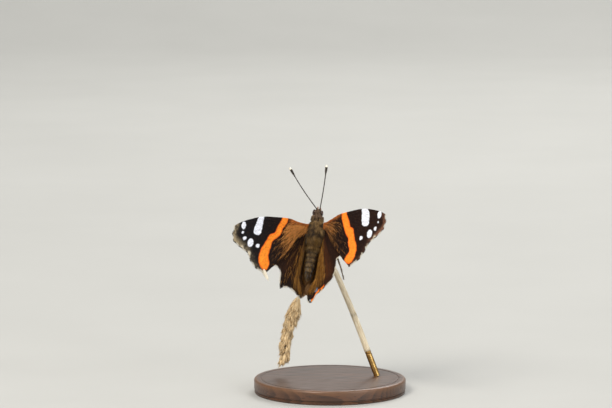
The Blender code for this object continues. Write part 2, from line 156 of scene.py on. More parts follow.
def smooth_way(points: Sequence[Sequence[float]], samples: int) -> Array:
    """Follow a smooth curve through all the points.

    Args:
        points: Points of any dimension, in order.
        samples: Steps between two of them.

    Returns:
        The curve's points.
    """
    keys = np.asarray(points, float)
    ends = np.vstack((2 * keys[0] - keys[1], keys, 2 * keys[-1] - keys[-2]))
    way = []
    for before, start, end, after in zip(ends, ends[1:], ends[2:], ends[3:]):
        bend = 2 * before - 5 * start + 4 * end - after
        twist = 3 * start - before - 3 * end + after
        for t in np.arange(samples) / samples:
            way.append(start + 0.5 * (t * (end - before) + t * t * bend + t ** 3 * twist))
    return np.vstack((way, keys[-1:]))


def even_steps(way: Array, step: float) -> Array:
    """Spread points along a way at even steps, its ends kept.

    Args:
        way: Points in order.
        step: Wanted distance between neighbours.

    Returns:
        The evenly spread points.
    """
    lengths = run(way)
    wanted = np.linspace(0.0, lengths[-1], max(2, round(lengths[-1] / step) + 1))
    return np.column_stack([np.interp(wanted, lengths, column) for column in way.T])


def on_map(share: Array) -> Array:
    """Keep shares of the bake map clear of its rim."""
    return BAKE_RIM + (1.0 - 2.0 * BAKE_RIM) * share


def in_world(points: Array, holder: Matrix) -> Array:
    """Carry points in millimetres of a holder's frame to metres in the world."""
    return (points @ np.array(holder.to_3x3()).T + np.array(holder.translation)) * MM


def line_gap(points: Array, lines: Sequence[Array]) -> Array:
    """Measure from each flat point to the nearest of some bent lines.

    Args:
        points: Flat points.
        lines: Each line's points in order.

    Returns:
        One distance for each point.
    """
    starts = np.vstack([line[:-1] for line in lines])
    along = np.vstack([line[1:] for line in lines]) - starts
    offset = points[:, None] - starts[None]
    share = (offset * along).sum(2) / np.maximum((along ** 2).sum(1), 1e-12)
    gap = offset - along * np.clip(share, 0.0, 1.0)[..., None]
    return np.sqrt((gap ** 2).sum(2).min(1))


def signed_gap(points: Array, outline: Array) -> Array:
    """Measure from each flat point to a closed outline.

    Args:
        points: Flat points.
        outline: The outline's points in order.

    Returns:
        One distance for each point, below zero inside the outline.
    """
    closed = np.vstack((outline, outline[:1]))
    x, y = points[:, :1], points[:, 1:2]
    (ax, ay), (bx, by) = closed[:-1].T, closed[1:].T
    steep = np.where(by == ay, 1e-12, by - ay)
    crossed = ((ay > y) != (by > y)) & (x < ax + (y - ay) * (bx - ax) / steep)
    return np.where(crossed.sum(1) % 2 == 1, -1.0, 1.0) * line_gap(points, [closed])


def oval_gap(points: Array, middle: Pair, radii: Pair, turn: float = 0.0) -> Array:
    """Measure roughly from each flat point to an oval's edge.

    Args:
        points: Flat points.
        middle: The oval's middle.
        radii: Its half lengths across and along.
        turn: Its turn in degrees.

    Returns:
        One distance for each point, below zero inside the oval.
    """
    (near, far) = flat_ray(turn)
    share = (points - np.array(middle)) @ np.array(((near, -far), (far, near))) / np.array(radii)
    return (np.linalg.norm(share, axis=1) - 1.0) * min(radii)


def outward_ways(line: Array, span: int) -> tuple[Array, Array]:
    """Find which way a closed line runs and which way is out of it.

    Args:
        line: The line's points in order.
        span: Neighbours on each side that a direction is taken from.

    Returns:
        The flat directions along the line and out of it.
    """
    ahead = unit(np.roll(line, -span, 0) - np.roll(line, span, 0))
    across = np.column_stack((ahead[:, 1], -ahead[:, 0]))
    inside = signed_gap((line + 0.1 * across)[:1], line)[0] < 0.0
    return ahead, -across if inside else across


def mark_points(mesh: Mesh, title: str, values: Array) -> None:
    """Write a number or vector for each point of a mesh.

    Args:
        mesh: The mesh.
        title: The values' name.
        values: One number or vector for each point.
    """
    kind, key = ("FLOAT", "value") if values.ndim == 1 else ("FLOAT_VECTOR", "vector")
    layer = mesh.attributes.new(title, kind, "POINT")
    layer.data.foreach_set(key, np.ascontiguousarray(values, np.float32).ravel())


@dataclass
class Shape:
    """A mesh in the making: points, faces, values at its points and a dress per face."""

    points: Array
    faces: list[tuple[int, ...]]
    marks: dict[str, Array] = field(default_factory=dict)
    dress: list[int] | None = None

    def write(self, name: str, materials: Sequence[Material] = (), sharp: float = 180.0) -> Object:
        """Write the shape, with its points in metres, as a smooth-shaded object at the origin.

        Args:
            name: The object's name.
            materials: Its finishes in slot order.
            sharp: Angle in degrees above which an edge stays crisp.

        Returns:
            The new object.
        """
        mesh = bpy.data.meshes.new(name)
        mesh.from_pydata(self.points.tolist(), [], self.faces)
        for material in materials:
            mesh.materials.append(material)
        for title, values in self.marks.items():
            mark_points(mesh, title, values)
        if self.dress is not None:
            mesh.polygons.foreach_set("material_index", self.dress)
        mesh.shade_smooth()
        if sharp < 180.0:
            mesh.set_sharp_from_angle(angle=radians(sharp))
        mesh.update()
        made = bpy.data.objects.new(name, mesh)
        bpy.context.scene.collection.objects.link(made)
        return made


def joined(shapes: Sequence[Shape]) -> Shape:
    """Put shapes with the same marks together.

    Args:
        shapes: The shapes.

    Returns:
        All of them as one shape.
    """
    faces, offset = [], 0
    for shape in shapes:
        faces += [tuple(index + offset for index in face) for face in shape.faces]
        offset += len(shape.points)
    marks = {title: np.concatenate([shape.marks[title] for shape in shapes]) for title in shapes[0].marks}
    return Shape(np.vstack([shape.points for shape in shapes]), faces, marks)


def stacked(rings: Sequence[Array], poles: Sequence[Sequence[float]]) -> Shape:
    """Join rings of points in order and close the ends at poles, or a blunt start by one face.

    Args:
        rings: Rings with the same number of points.
        poles: The last end's pole, and before it the first end's where that isn't blunt.

    Returns:
        The closed shape.
    """
    rows, sides = len(rings), len(rings[0])
    last, poled = (rows - 1) * sides, len(poles) > 1
    faces = [] if poled else [tuple(range(sides))[::-1]]
    for step in range(sides):
        after = (step + 1) % sides
        faces += [(low + step, low + after, low + after + sides, low + step + sides)
                  for low in range(0, last, sides)]
        faces.append((last + step, last + after, rows * sides + poled))
        if poled:
            faces.append((after, step, rows * sides))
    return Shape(np.vstack((*rings, np.array(poles, float))), faces)


def swept(way: Array, radii: Array, sides: int = 12, flat: float = 1.0) -> Shape:
    """Sweep a round section along a way.

    Args:
        way: Points in metres.
        radii: The section's radius in metres at each point.
        sides: Points round the section.
        flat: Share of the radius that is kept across the section's second axis.

    Returns:
        A closed shape with the marks "along", in millimetres, and "fibre", round and along the way.
    """
    ahead = unit(np.gradient(way, axis=0))
    across = unit(np.cross(ahead[0], (0.13, 0.97, 0.21)))
    far, ring, rings = run(way) / MM, flat_ring(sides), []
    for place, aim, radius in zip(way, ahead, radii):
        across = unit(across - aim * np.dot(across, aim))
        rings.append(place + radius * (ring @ np.array((across, flat * np.cross(aim, across)))))
    ends = (way[0] - ahead[0] * radii[0] * 0.25, way[-1] + ahead[-1] * radii[-1] * 0.25)
    shape = stacked(rings, ends)
    along = np.concatenate((np.repeat(far, sides), (0.0, far[-1])))
    turns = np.vstack((np.tile(ring, (len(way), 1)), np.zeros((2, 2))))
    shape.marks = {"along": along, "fibre": np.column_stack((turns, along))}
    return shape


def turned(profile: Sequence[Pair], middle: Callable[[float], Sequence[float]], wide: float,
           deep: float, sides: int = 48) -> Shape:
    """Turn a half outline about an axis, flattened from one axis to the other.

    Args:
        profile: Share of the half width and distance along the axis, from pole to pole.
        middle: Gives the axis point for a distance.
        wide: Half width.
        deep: Half depth.
        sides: Points round the axis.

    Returns:
        A closed shape in millimetres.
    """
    ring = np.column_stack((flat_ring(sides) * (wide, deep), np.zeros(sides)))
    return stacked([np.array(middle(far)) + ring * share for share, far in profile[1:-1]],
                   [middle(profile[0][1]), middle(profile[-1][1])])


def settle(piece: Object, slot: Slot, *nodes: str) -> None:
    """Hide the CAD nodes that a finished piece replaces, ride it on the still body and log it with its slot.

    Args:
        piece: The finished piece.
        slot: The record's material slot.
        nodes: The CAD nodes that it replaces.
    """
    if nodes:
        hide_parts(*nodes)
    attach(piece, "root")
    log.info("%s: %d faces, slot %s", piece.name, len(piece.data.polygons), slot.value)


def plain_copy(source: Object) -> None:
    """Swap an object's mesh for the result of its modifiers and remove them.

    Args:
        source: The object.
    """
    bpy.context.view_layer.update()
    mesh = bpy.data.meshes.new_from_object(source.evaluated_get(bpy.context.evaluated_depsgraph_get()))
    source.modifiers.clear()
    scrap, source.data = source.data, mesh
    bpy.data.meshes.remove(scrap)
    mesh.name = source.name


def lay_in_trunk(mesh: Mesh, middle: Sequence[float] = (0.0, 0.0, 0.0)) -> None:
    """Carry a mesh from the origin into the trunk, its own place kept as "spot".

    Args:
        mesh: The mesh, in metres.
        middle: Where its origin goes, in millimetres.
    """
    points = np.empty(len(mesh.vertices) * 3)
    mesh.vertices.foreach_get("co", points)
    spot = points.reshape(-1, 3) / MM
    mark_points(mesh, "spot", spot)
    mesh.vertices.foreach_set("co", in_world(spot + middle, TRUNK).ravel())
    mesh.update()


class Net:
    """Short calls for adding and joining the nodes of one material or node tree."""

    def __init__(self, tree: bpy.types.NodeTree) -> None:
        """Take the tree to work on."""
        self.tree = tree

    def add(self, kind: str, **settings: object) -> bpy.types.Node:
        """Add a node.

        Args:
            kind: The node's kind.
            settings: Its own properties.

        Returns:
            The node.
        """
        node = self.tree.nodes.new(kind)
        for name, value in settings.items():
            setattr(node, name, value)
        return node

    def feed(self, socket: Socket, value: object) -> None:
        """Link another node's output to an input, or set the input's plain value.

        Args:
            socket: The input.
            value: The output or plain value, or None to leave the input as it is.
        """
        if isinstance(value, Socket):
            self.tree.links.new(value, socket)
        elif value is not None:
            socket.default_value = (*value, 1.0) if socket.type == "RGBA" and len(value) == 3 else value

    def fed(self, node: bpy.types.Node, **values: object) -> bpy.types.Node:
        """Feed a node's inputs by name.

        Args:
            node: The node.
            values: What each input takes, its name with _ for a space.

        Returns:
            The node.
        """
        for name, value in values.items():
            self.feed(node.inputs[name.replace("_", " ").title()], value)
        return node

    def wire(self, node: bpy.types.Node, *values: object, output: int = 0) -> Socket:
        """Feed a node's inputs in order.

        Args:
            node: The node.
            values: What its first inputs take.
            output: Place of the wanted output.

        Returns:
            The output.
        """
        for socket, value in zip(node.inputs, values):
            self.feed(socket, value)
        return node.outputs[output]

    def math(self, operation: str, first: object, second: object = 0.0) -> Socket:
        """Work out one number from two."""
        return self.wire(self.add("ShaderNodeMath", operation=operation), first, second)

    def times(self, first: object, second: object) -> Socket:
        """Multiply two numbers."""
        return self.math("MULTIPLY", first, second)

    def vector(self, operation: str, first: object, second: object) -> Socket:
        """Work out one vector from two, or from one and a number for SCALE."""
        rest = (None, None, second) if operation == "SCALE" else (second,)
        return self.wire(self.add("ShaderNodeVectorMath", operation=operation), first, *rest)

    def mix(self, factor: object, low: object, high: object) -> Socket:
        """Mix two colours, the first where the factor is 0."""
        node = self.add("ShaderNodeMix", data_type="RGBA")
        return self.wire(node, factor, *[None] * 5, low, high, output=2)

    def ease(self, value: object, low: float, high: float, start: float = 0.0, stop: float = 1.0) -> Socket:
        """Map a value smoothly from low..high to start..stop."""
        node = self.add("ShaderNodeMapRange", interpolation_type="SMOOTHSTEP")
        return self.wire(node, value, low, high, start, stop)

    def noise(self, place: Socket, scale: object, detail: float = 2.0) -> Socket:
        """Read soft noise at a place."""
        return self.fed(self.add("ShaderNodeTexNoise"), vector=place, scale=scale, detail=detail).outputs[0]

    def mark(self, title: str, output: str = "Fac") -> Socket:
        """Read a value that the piece's own points carry."""
        return self.add("ShaderNodeAttribute", attribute_name=title).outputs[output]

    def here(self) -> Socket:
        """Read the place on the object."""
        return self.add("ShaderNodeTexCoord").outputs["Object"]

    def group(self, title: str, **values: object) -> dict[str, Socket]:
        """Place a shared effect with its named inputs and give its outputs by name."""
        node = self.fed(self.add("ShaderNodeGroup", node_tree=bpy.data.node_groups[title]), **values)
        return {socket.name: socket for socket in node.outputs}

    def patches(self, place: Socket, scale: float, contrast: float) -> Socket:
        """Read soft patches in two sizes."""
        return self.group("Mottle", place=place, scale=scale, contrast=contrast)["Factor"]

    def lit(self, colour: Socket, value: Socket) -> Socket:
        """Make a colour darker or lighter by a value."""
        return self.fed(self.add("ShaderNodeHueSaturation"), color=colour, value=value).outputs[0]


@dataclass
class Tree:
    """A node tree with named inputs and outputs, ready to be filled and used."""

    kind: str
    title: str
    inputs: dict[str, str | float]
    outputs: dict[str, str]
    keys: dict[str, str] = field(default_factory=dict)

    def __post_init__(self) -> None:
        """Make the tree, its sockets and the nodes that stand for them."""
        self.tree = bpy.data.node_groups.new(self.title, self.kind + "NodeTree")
        for name, given in self.inputs.items():
            plain = isinstance(given, float)
            kind = "NodeSocket" + ("Float" if plain else given)
            made = self.tree.interface.new_socket(name=name, in_out="INPUT", socket_type=kind)
            if plain:
                made.default_value = given
            self.keys[name] = made.identifier
        for name, kind in self.outputs.items():
            self.tree.interface.new_socket(name=name, in_out="OUTPUT", socket_type="NodeSocket" + kind)
        self.net = Net(self.tree)
        self.given = self.net.add("NodeGroupInput").outputs
        self.end = self.net.add("NodeGroupOutput")

    def give(self, **values: Socket) -> None:
        """Feed the tree's outputs by name."""
        self.net.fed(self.end, **values)

    def close(self, geometry: Socket) -> None:
        """End a geometry tree in plain mesh with its finish.

        Args:
            geometry: What the tree made.
        """
        net = self.net
        real = net.fed(net.add("GeometryNodeRealizeInstances"), geometry=geometry).outputs[0]
        dressed = net.fed(net.add("GeometryNodeSetMaterial"), geometry=real, material=self.given["Finish"])
        self.give(mesh=dressed.outputs[0])

    def use(self, made: Object, **values: object) -> None:
        """Run a geometry tree on an object and keep the plain result.

        Args:
            made: The object.
            values: The tree's inputs by name.
        """
        modifier = made.modifiers.new(self.title, "NODES")
        modifier.node_group = self.tree
        for name, value in values.items():
            modifier[self.keys[name.title()]] = value
        plain_copy(made)


def make_ragged_edge() -> None:
    """Make the effect that turns a signed distance into a mark with a ragged, scaly edge."""
    effect = Tree("Shader", "Ragged edge", {"Distance": 0.0, "Place": "Vector", "Softness": 0.12,
                                            "Raggedness": 0.42, "Grain": 1.4}, {"Mask": "Float"})
    net, given = effect.net, effect.given
    coarse = net.noise(given["Place"], given["Grain"], 4.0)
    sway = net.times(net.math("SUBTRACT", coarse, 0.5), given["Raggedness"])
    share = net.math("DIVIDE", net.math("ADD", given["Distance"], sway), given["Softness"])
    effect.give(mask=net.ease(share, -1.0, 1.0, 1.0, 0.0))


def make_wing_scales() -> None:
    """Make the effect of overlapping wing scales in rows, with a tint for each scale."""
    effect = Tree("Shader", "Wing scales", {"Place": "Vector", "Size": 0.15},
                  {"Height": "Float", "Tint": "Float", "Dust": "Float"})
    net, given = effect.net, effect.given
    tall = net.vector("MULTIPLY", given["Place"], (0.62, 1.0, 1.0))
    sized = net.vector("SCALE", tall, net.math("DIVIDE", 1.0, given["Size"]))
    cells = net.fed(net.add("ShaderNodeTexVoronoi", feature="F1"), vector=sized, scale=1.0).outputs
    split = net.fed(net.add("ShaderNodeSeparateColor"), color=cells["Color"]).outputs
    effect.give(height=net.ease(cells["Distance"], 0.0, 0.75, 1.0, 0.0), tint=split[0],
                dust=net.ease(split[1], 0.90, 0.97))


def make_mottle() -> None:
    """Make the effect of soft patches in two sizes, used for every weathered surface."""
    effect = Tree("Shader", "Mottle", {"Place": "Vector", "Scale": 1.0, "Contrast": 1.0}, {"Factor": "Float"})
    net, given = effect.net, effect.given
    broad, fine = [net.math("SUBTRACT", net.noise(given["Place"], net.times(given["Scale"], finer), 3.0), 0.5)
                   for finer in (1.0, 4.3)]
    both = net.times(net.math("ADD", broad, net.times(fine, 0.6)), given["Contrast"])
    effect.give(factor=net.ease(net.math("ADD", both, 0.5), 0.2, 0.8))


def make_fibres() -> None:
    """Make the effect of long dry fibres along a stalk, glume or shaft."""
    effect = Tree("Shader", "Fibres", {"Fibre": "Vector", "Around": 6.0, "Along": 0.35},
                  {"Factor": "Float", "Blotch": "Float"})
    net, given = effect.net, effect.given
    sized = net.fed(net.add("ShaderNodeCombineXYZ"), x=given["Around"], y=given["Around"], z=given["Along"])
    drawn = net.vector("MULTIPLY", given["Fibre"], sized.outputs[0])
    broad = net.vector("MULTIPLY", given["Fibre"], (0.9, 0.9, 0.30))
    effect.give(factor=net.ease(net.noise(drawn, 1.0, 4.0), 0.3, 0.7),
                blotch=net.ease(net.noise(broad, 1.0, 3.0), 0.35, 0.68))


def make_body_markings() -> None:
    """Make the markings that the trunk's skin and its coat of hair share, from trunk millimetres."""
    effect = Tree("Shader", "Body markings", {"Place": "Vector"}, {"Colour": "Color"})
    net, place = effect.net, effect.given["Place"]
    axes = net.add("ShaderNodeSeparateXYZ")
    net.feed(axes.inputs[0], place)
    _, y, z = axes.outputs
    patches = net.patches(place, 0.8, 2.3)
    olive = net.mix(patches, paint(58, 42, 23), paint(146, 116, 74))
    tail = net.mix(patches, paint(82, 61, 35), paint(154, 124, 80))
    rings = net.math("FRACT", net.times(net.math("ADD", z, 4.55), -7.0 / 9.7))
    groove = net.math("ABSOLUTE", net.math("SUBTRACT", rings, 0.5))
    dark_ring = net.ease(net.math("ADD", groove, net.times(patches, 0.10)), 0.36, 0.50)
    tail = net.mix(net.times(dark_ring, 0.75), tail, paint(34, 27, 22))
    flecks = net.times(net.ease(net.noise(place, 1.9, 3.0), 0.56, 0.66), net.ease(z, -9.0, -7.0, 0.7, 0.0))
    tail = net.mix(flecks, tail, paint(120, 124, 130))
    trunk = net.mix(net.ease(z, -5.4, -4.2), tail, olive)
    golden = net.times(net.ease(z, -5.2, -3.6), net.ease(z, -2.2, -0.8, 0.55, 0.0))
    trunk = net.mix(golden, trunk, paint(134, 100, 44))
    trunk = net.mix(net.ease(y, 0.6, 1.9, 0.0, 0.8), trunk, paint(128, 112, 92))
    crown = net.mix(patches, paint(84, 64, 48), paint(162, 134, 108))
    face = net.mix(net.ease(y, 1.2, 2.0), crown, paint(196, 152, 124))
    effect.give(colour=net.mix(net.ease(z, 3.1, 4.1), trunk, face))


class Look(NamedTuple):
    """What a finish feeds its shader: colour, roughness and a bump's height, depth and strength."""

    colour: Socket
    rough: Socket
    height: Socket | None = None
    depth: float = 0.0
    strength: float = 1.0


@dataclass(frozen=True)
class Finish:
    """A finish that is made once as a material, with plain values on the shader's own sockets."""

    SHADER: ClassVar[dict[str, float]] = {}
    name: str

    def look(self, net: Net) -> Look:
        """Build what the finish feeds its shader."""
        raise NotImplementedError

    def make(self) -> Material:
        """Build the material.

        Returns:
            The material.
        """
        made = bpy.data.materials.new(self.name)
        made.use_nodes = True
        net = Net(made.node_tree)
        shader = made.node_tree.nodes["Principled BSDF"]
        for title, value in self.SHADER.items():
            shader.inputs[title].default_value = value
        look = self.look(net)
        net.fed(shader, base_color=look.colour, roughness=look.rough)
        if look.height is not None:
            bump = net.fed(net.add("ShaderNodeBump"), height=look.height, distance=look.depth * MM,
                           strength=look.strength)
            net.feed(shader.inputs["Normal"], bump.outputs[0])
        return made


@dataclass(frozen=True)
class WingFinish(Finish):
    """Scaled finish of one face of a wing, from the marks that the wing's points carry."""

    SHADER = {"Sheen Weight": 0.03, "Sheen Roughness": 0.4, "Specular IOR Level": 0.12}
    ground: Colour
    browner: Colour
    worn: Colour
    rust: Colour = paint(178, 100, 42)
    gold: Colour = paint(112, 78, 34)
    tan: Colour = paint(150, 112, 74)
    band: Colour = paint(255, 150, 46)
    band_edge: Colour = paint(240, 104, 26)
    white: Colour = paint(236, 238, 246)
    ivory: Colour = paint(226, 210, 182)
    blue: Colour = paint(112, 124, 146)
    black: Colour = paint(22, 16, 14)
    marbled: float = 0.0

    def look(self, net: Net) -> Look:
        """Build what the finish feeds its shader.

        Args:
            net: The material's nodes.

        Returns:
            The wing's look.
        """
        plan = net.mark("plan", "Vector")
        scales = net.group("Wing scales", place=plan)
        rays = net.patches(net.mark("ray", "Vector"), 1.0, 1.2)
        # browner is the tone of the wing's far part; on the left forewing it holds a painted bluish sheen
        colour = net.mix(net.ease(net.mark("far"), 0.15, 0.95), self.ground, self.browner)
        colour = net.mix(net.times(rays, 0.35), colour, self.browner)
        if self.marbled:
            colour = self.marble(net, colour, plan)
        for title, tone, low, high, thin, full in (
                ("gold", self.gold, 0.1, 0.8, 0.35, 1.0), ("rust", self.rust, 0.0, 0.9, 0.55, 1.0),
                ("fold", self.tan, 0.2, 0.8, 0.35, 0.95)):
            share = net.times(net.mark(title), net.ease(rays, low, high, thin, full))
            colour = net.mix(share, colour, tone)
        colour = net.mix(net.ease(net.mark("vein"), 0.05, 0.24, 0.30, 0.0), colour, self.browner)
        rubbed = net.ease(net.patches(plan, 0.35, 1.4), 0.15, 0.75, 0.25, 1.0)
        colour = net.mix(net.times(net.mark("worn"), rubbed), colour, self.worn)
        flame = net.mix(net.ease(net.mark("band"), -0.6, 0.0), self.band, self.band_edge)
        flame = net.mix(net.times(rays, 0.25), flame, self.band_edge)
        for title, tone in (("blue", self.blue), ("band", flame), ("dots", self.black),
                            ("spots", self.white)):
            mask = net.group("Ragged edge", distance=net.mark(title), place=plan)["Mask"]
            colour = net.mix(mask, colour, tone)
        colour = net.mix(net.mark("ivory"), colour, self.ivory)
        colour = net.mix(net.times(scales["Dust"], 0.16), colour, self.gold)
        colour = net.lit(colour, net.ease(scales["Tint"], 0.0, 1.0, 0.80, 1.18))
        height = net.math("ADD", net.times(scales["Height"], 0.6), rays)
        return Look(colour, net.ease(scales["Tint"], 0.0, 1.0, 0.60, 0.84), height, 0.035, 0.8)

    def marble(self, net: Net, colour: Socket, plan: Socket) -> Socket:
        """Lay the cryptic brown, grey and lilac marbling of an underside over a colour.

        Args:
            net: The material's nodes.
            colour: The colour under it.
            plan: The wing's plan in millimetres.

        Returns:
            The marbled colour.
        """
        warp = net.fed(net.add("ShaderNodeTexNoise"), vector=plan, scale=0.45).outputs["Color"]
        bent = net.vector("ADD", plan, net.vector("MULTIPLY", warp, (3.4, 3.4, 0.0)))
        cells = net.fed(net.add("ShaderNodeTexVoronoi", feature="SMOOTH_F1"), vector=bent, scale=0.55)
        waves = net.add("ShaderNodeTexWave", wave_type="RINGS", rings_direction="Z")
        waves = net.fed(waves, vector=bent, scale=0.16, distortion=9.0, detail=4.0).outputs["Fac"]
        tone = net.mix(net.ease(cells.outputs["Distance"], 0.15, 0.6), paint(52, 41, 34), paint(112, 98, 82))
        tone = net.mix(net.ease(waves, 0.62, 0.95), tone, paint(128, 116, 114))
        tone = net.mix(net.ease(waves, 0.06, 0.34), paint(34, 26, 22), tone)
        tone = net.mix(net.times(net.mark("cryptic"), self.marbled), colour, tone)
        eyespot = net.mark("eyespot")
        tone = net.mix(net.ease(eyespot, 0.0, 0.25), paint(150, 132, 104), tone)
        return net.mix(net.ease(eyespot, -0.30, -0.12), paint(38, 42, 52), tone)


@dataclass(frozen=True)
class BodyFinish(Finish):
    """Finish of the trunk: the skin, or the coat over it with a tint for each tuft."""

    SHADER = {"Sheen Weight": 0.06, "Specular IOR Level": 0.2}
    coat: bool

    def look(self, net: Net) -> Look:
        """Build what the finish feeds its shader.

        Args:
            net: The material's nodes.

        Returns:
            The skin's or the coat's look.
        """
        spot = net.mark("spot", "Vector")
        colour = net.group("Body markings", place=spot)["Colour"]
        rough = net.ease(net.noise(spot, 3.0), 0.3, 0.7, 0.62, 0.85)
        if self.coat:
            return Look(net.lit(colour, net.ease(net.mark("tint"), 0.0, 1.0, 0.45, 1.75)), rough)
        dim = net.ease(net.noise(spot, 6.0, 3.0), 0.3, 0.7, 0.35, 0.8)
        return Look(net.lit(colour, dim), rough, net.noise(spot, 9.0, 4.0), 0.06)


@dataclass(frozen=True)
class PatchedFinish(Finish):
    """Finish in soft patches from one colour to another, with a fine grain of its own where it has one."""

    low: Colour
    high: Colour
    place: str = ""
    patch: Pair = (1.0, 1.0)
    rough: Pair = (0.5, 0.5)
    grain: float = 0.0
    depth: float = 0.0

    def colour(self, net: Net, patches: Socket) -> Socket:
        """Mix the finish's colours by its patches."""
        return net.mix(patches, self.low, self.high)

    def look(self, net: Net) -> Look:
        """Build what the finish feeds its shader.

        Args:
            net: The material's nodes.

        Returns:
            The finish's look.
        """
        place = net.mark(self.place, "Vector") if self.place else net.here()
        patches = net.patches(place, *self.patch)
        height = net.noise(place, self.grain, 3.0) if self.grain else None
        return Look(self.colour(net, patches), net.ease(patches, 0.0, 1.0, *self.rough), height, self.depth)


@dataclass(frozen=True)
class TuftFinish(PatchedFinish):
    """Finish of hairs, fringe scales and bristles, from dark to pale by each tuft's own tint."""

    SHADER = {"Sheen Weight": 0.05, "Specular IOR Level": 0.18}
    patch: Pair = (900.0, 1.0)
    rough: Pair = (0.52, 0.77)

    def colour(self, net: Net, patches: Socket) -> Socket:
        """Mix by tint and dull some patches."""
        return net.mix(net.times(patches, 0.25), net.mix(net.mark("tint"), self.low, self.high), self.low)


@dataclass(frozen=True)
class EyeFinish(PatchedFinish):
    """Dark glossy compound eye in uneven brown."""

    SHADER = {"Coat Weight": 0.4, "Coat Roughness": 0.12, "Specular IOR Level": 0.6}


@dataclass(frozen=True)
class FloorFinish(PatchedFinish):
    """Plain pale studio sheet with the faintest unevenness."""

    SHADER = {"Specular IOR Level": 0.2}


@dataclass(frozen=True)
class AntennaFinish(PatchedFinish):
    """Black ringed shaft with pale scales at each joint and a cream tip."""

    SHADER = {"Specular IOR Level": 0.4}
    joint: float = 0.36
    scales: Colour = paint(150, 132, 104)
    cream: Colour = paint(250, 240, 214)

    def colour(self, net: Net, patches: Socket) -> Socket:
        """Lay the pale joints and the tip over the patches.

        Args:
            net: The material's nodes.
            patches: The soft patches.

        Returns:
            The colour.
        """
        step = net.math("FRACT", net.math("DIVIDE", net.mark("along"), self.joint))
        ring = net.ease(net.math("ABSOLUTE", net.math("SUBTRACT", step, 0.5)), 0.38, 0.5, 0.0, 0.55)
        colour = net.mix(net.times(ring, patches), super().colour(net, patches), self.scales)
        return net.mix(net.ease(net.mark("tip"), 0.0, 1.0), colour, self.cream)


@dataclass(frozen=True)
class LegFinish(PatchedFinish):
    """Dark scaled horn, mottled and paler towards the foot."""

    SHADER = {"Specular IOR Level": 0.4}
    pale: Colour = paint(142, 120, 92)

    def colour(self, net: Net, patches: Socket) -> Socket:
        """Lay the paler foot over the patches."""
        pale = net.times(net.mark("pale"), net.ease(patches, 0.2, 0.8, 0.35, 1.0))
        return net.mix(pale, super().colour(net, patches), self.pale)


@dataclass(frozen=True)
class StrawFinish(Finish):
    """Dry grass: long fibres, brown blotches and bleached ridges."""

    SHADER = {"Specular IOR Level": 0.3, "Sheen Weight": 0.1}
    pale: Colour
    deep: Colour
    blotch: Colour
    blotched: float

    def look(self, net: Net) -> Look:
        """Build what the finish feeds its shader.

        Args:
            net: The material's nodes.

        Returns:
            The straw's look.
        """
        drawn = net.group("Fibres", fibre=net.mark("fibre", "Vector"), around=5.0, along=0.4)
        colour = net.mix(drawn["Factor"], self.deep, self.pale)
        colour = net.mix(net.times(drawn["Blotch"], self.blotched), colour, self.blotch)
        return Look(net.lit(colour, net.ease(net.mark("tint"), 0.0, 1.0, 0.72, 1.12)),
                    net.ease(drawn["Factor"], 0.0, 1.0, 0.8, 0.6), drawn["Factor"], 0.06)


@dataclass(frozen=True)
class BrassFinish(Finish):
    """Satin brass rod with brushed lines and darker tarnish."""

    SHADER = {"Metallic": 1.0}
    name: str = "Aged satin brass"

    def look(self, net: Net) -> Look:
        """Build what the finish feeds its shader.

        Args:
            net: The material's nodes.

        Returns:
            The brass's look.
        """
        fibre = net.mark("fibre", "Vector")
        brushed = net.group("Fibres", fibre=fibre, around=9.0, along=0.2)["Factor"]
        tarnish = net.patches(fibre, 0.5, 1.4)
        return Look(net.mix(tarnish, paint(196, 160, 96), paint(140, 104, 58)),
                    net.ease(tarnish, 0.0, 1.0, 0.24, 0.46), brushed, 0.012, 0.6)


@dataclass(frozen=True)
class WoodFinish(Finish):
    """Dark oiled wood with growth rings, pores and a worn edge."""

    SHADER = {"Coat Weight": 0.25, "Coat Roughness": 0.3, "Specular IOR Level": 0.45}
    name: str = "Dark oiled wood"

    def look(self, net: Net) -> Look:
        """Build what the finish feeds its shader.

        Args:
            net: The material's nodes.

        Returns:
            The wood's look.
        """
        bark = net.vector("ADD", net.vector("SCALE", net.here(), 1.0 / MM), (9.0, 46.0, 3.0))
        grown = net.noise(net.vector("MULTIPLY", bark, (0.006, 0.055, 0.055)), 1.0, 1.0)
        ring = net.math("FRACT", net.times(grown, 26.0))
        pores = net.noise(net.vector("MULTIPLY", bark, (0.2, 3.0, 3.0)), 1.0, 3.0)
        colour = net.mix(net.ease(ring, 0.0, 1.0), paint(88, 57, 37), paint(60, 38, 25))
        colour = net.mix(net.ease(pores, 0.55, 0.72), colour, paint(40, 24, 16))
        colour = net.mix(net.ease(net.mark("edge"), 0.3, 1.0, 0.0, 0.35), colour, paint(140, 98, 62))
        return Look(colour, net.ease(pores, 0.3, 0.7, 0.34, 0.52), net.times(pores, -1.0), 0.03, 0.5)


@dataclass
class Roots:
    """Where small shapes grow, in millimetres and directions of a holder's frame."""

    holder: Matrix
    places: Array
    lie: Array
    stand: Array
    size: tuple[object, object, object]
    tint: Array
    patch: Array

    def shape(self) -> Shape:
        """Give the roots as loose points with their values.

        Returns:
            Points with lie, upright, size, tint, place on the unwrap and place in the holder.
        """
        axes = np.array(self.holder.to_3x3()).T
        size = np.column_stack([np.broadcast_to(part, len(self.places)) for part in self.size]) * MM
        marks = {"lie": unit(self.lie @ axes), "stand": unit(self.stand @ axes), "tint": self.tint,
                 "spot": self.places, "size": size,
                 "patch": np.column_stack((self.patch, np.zeros(len(self.patch))))}
        return Shape(in_world(self.places, self.holder), [], marks)


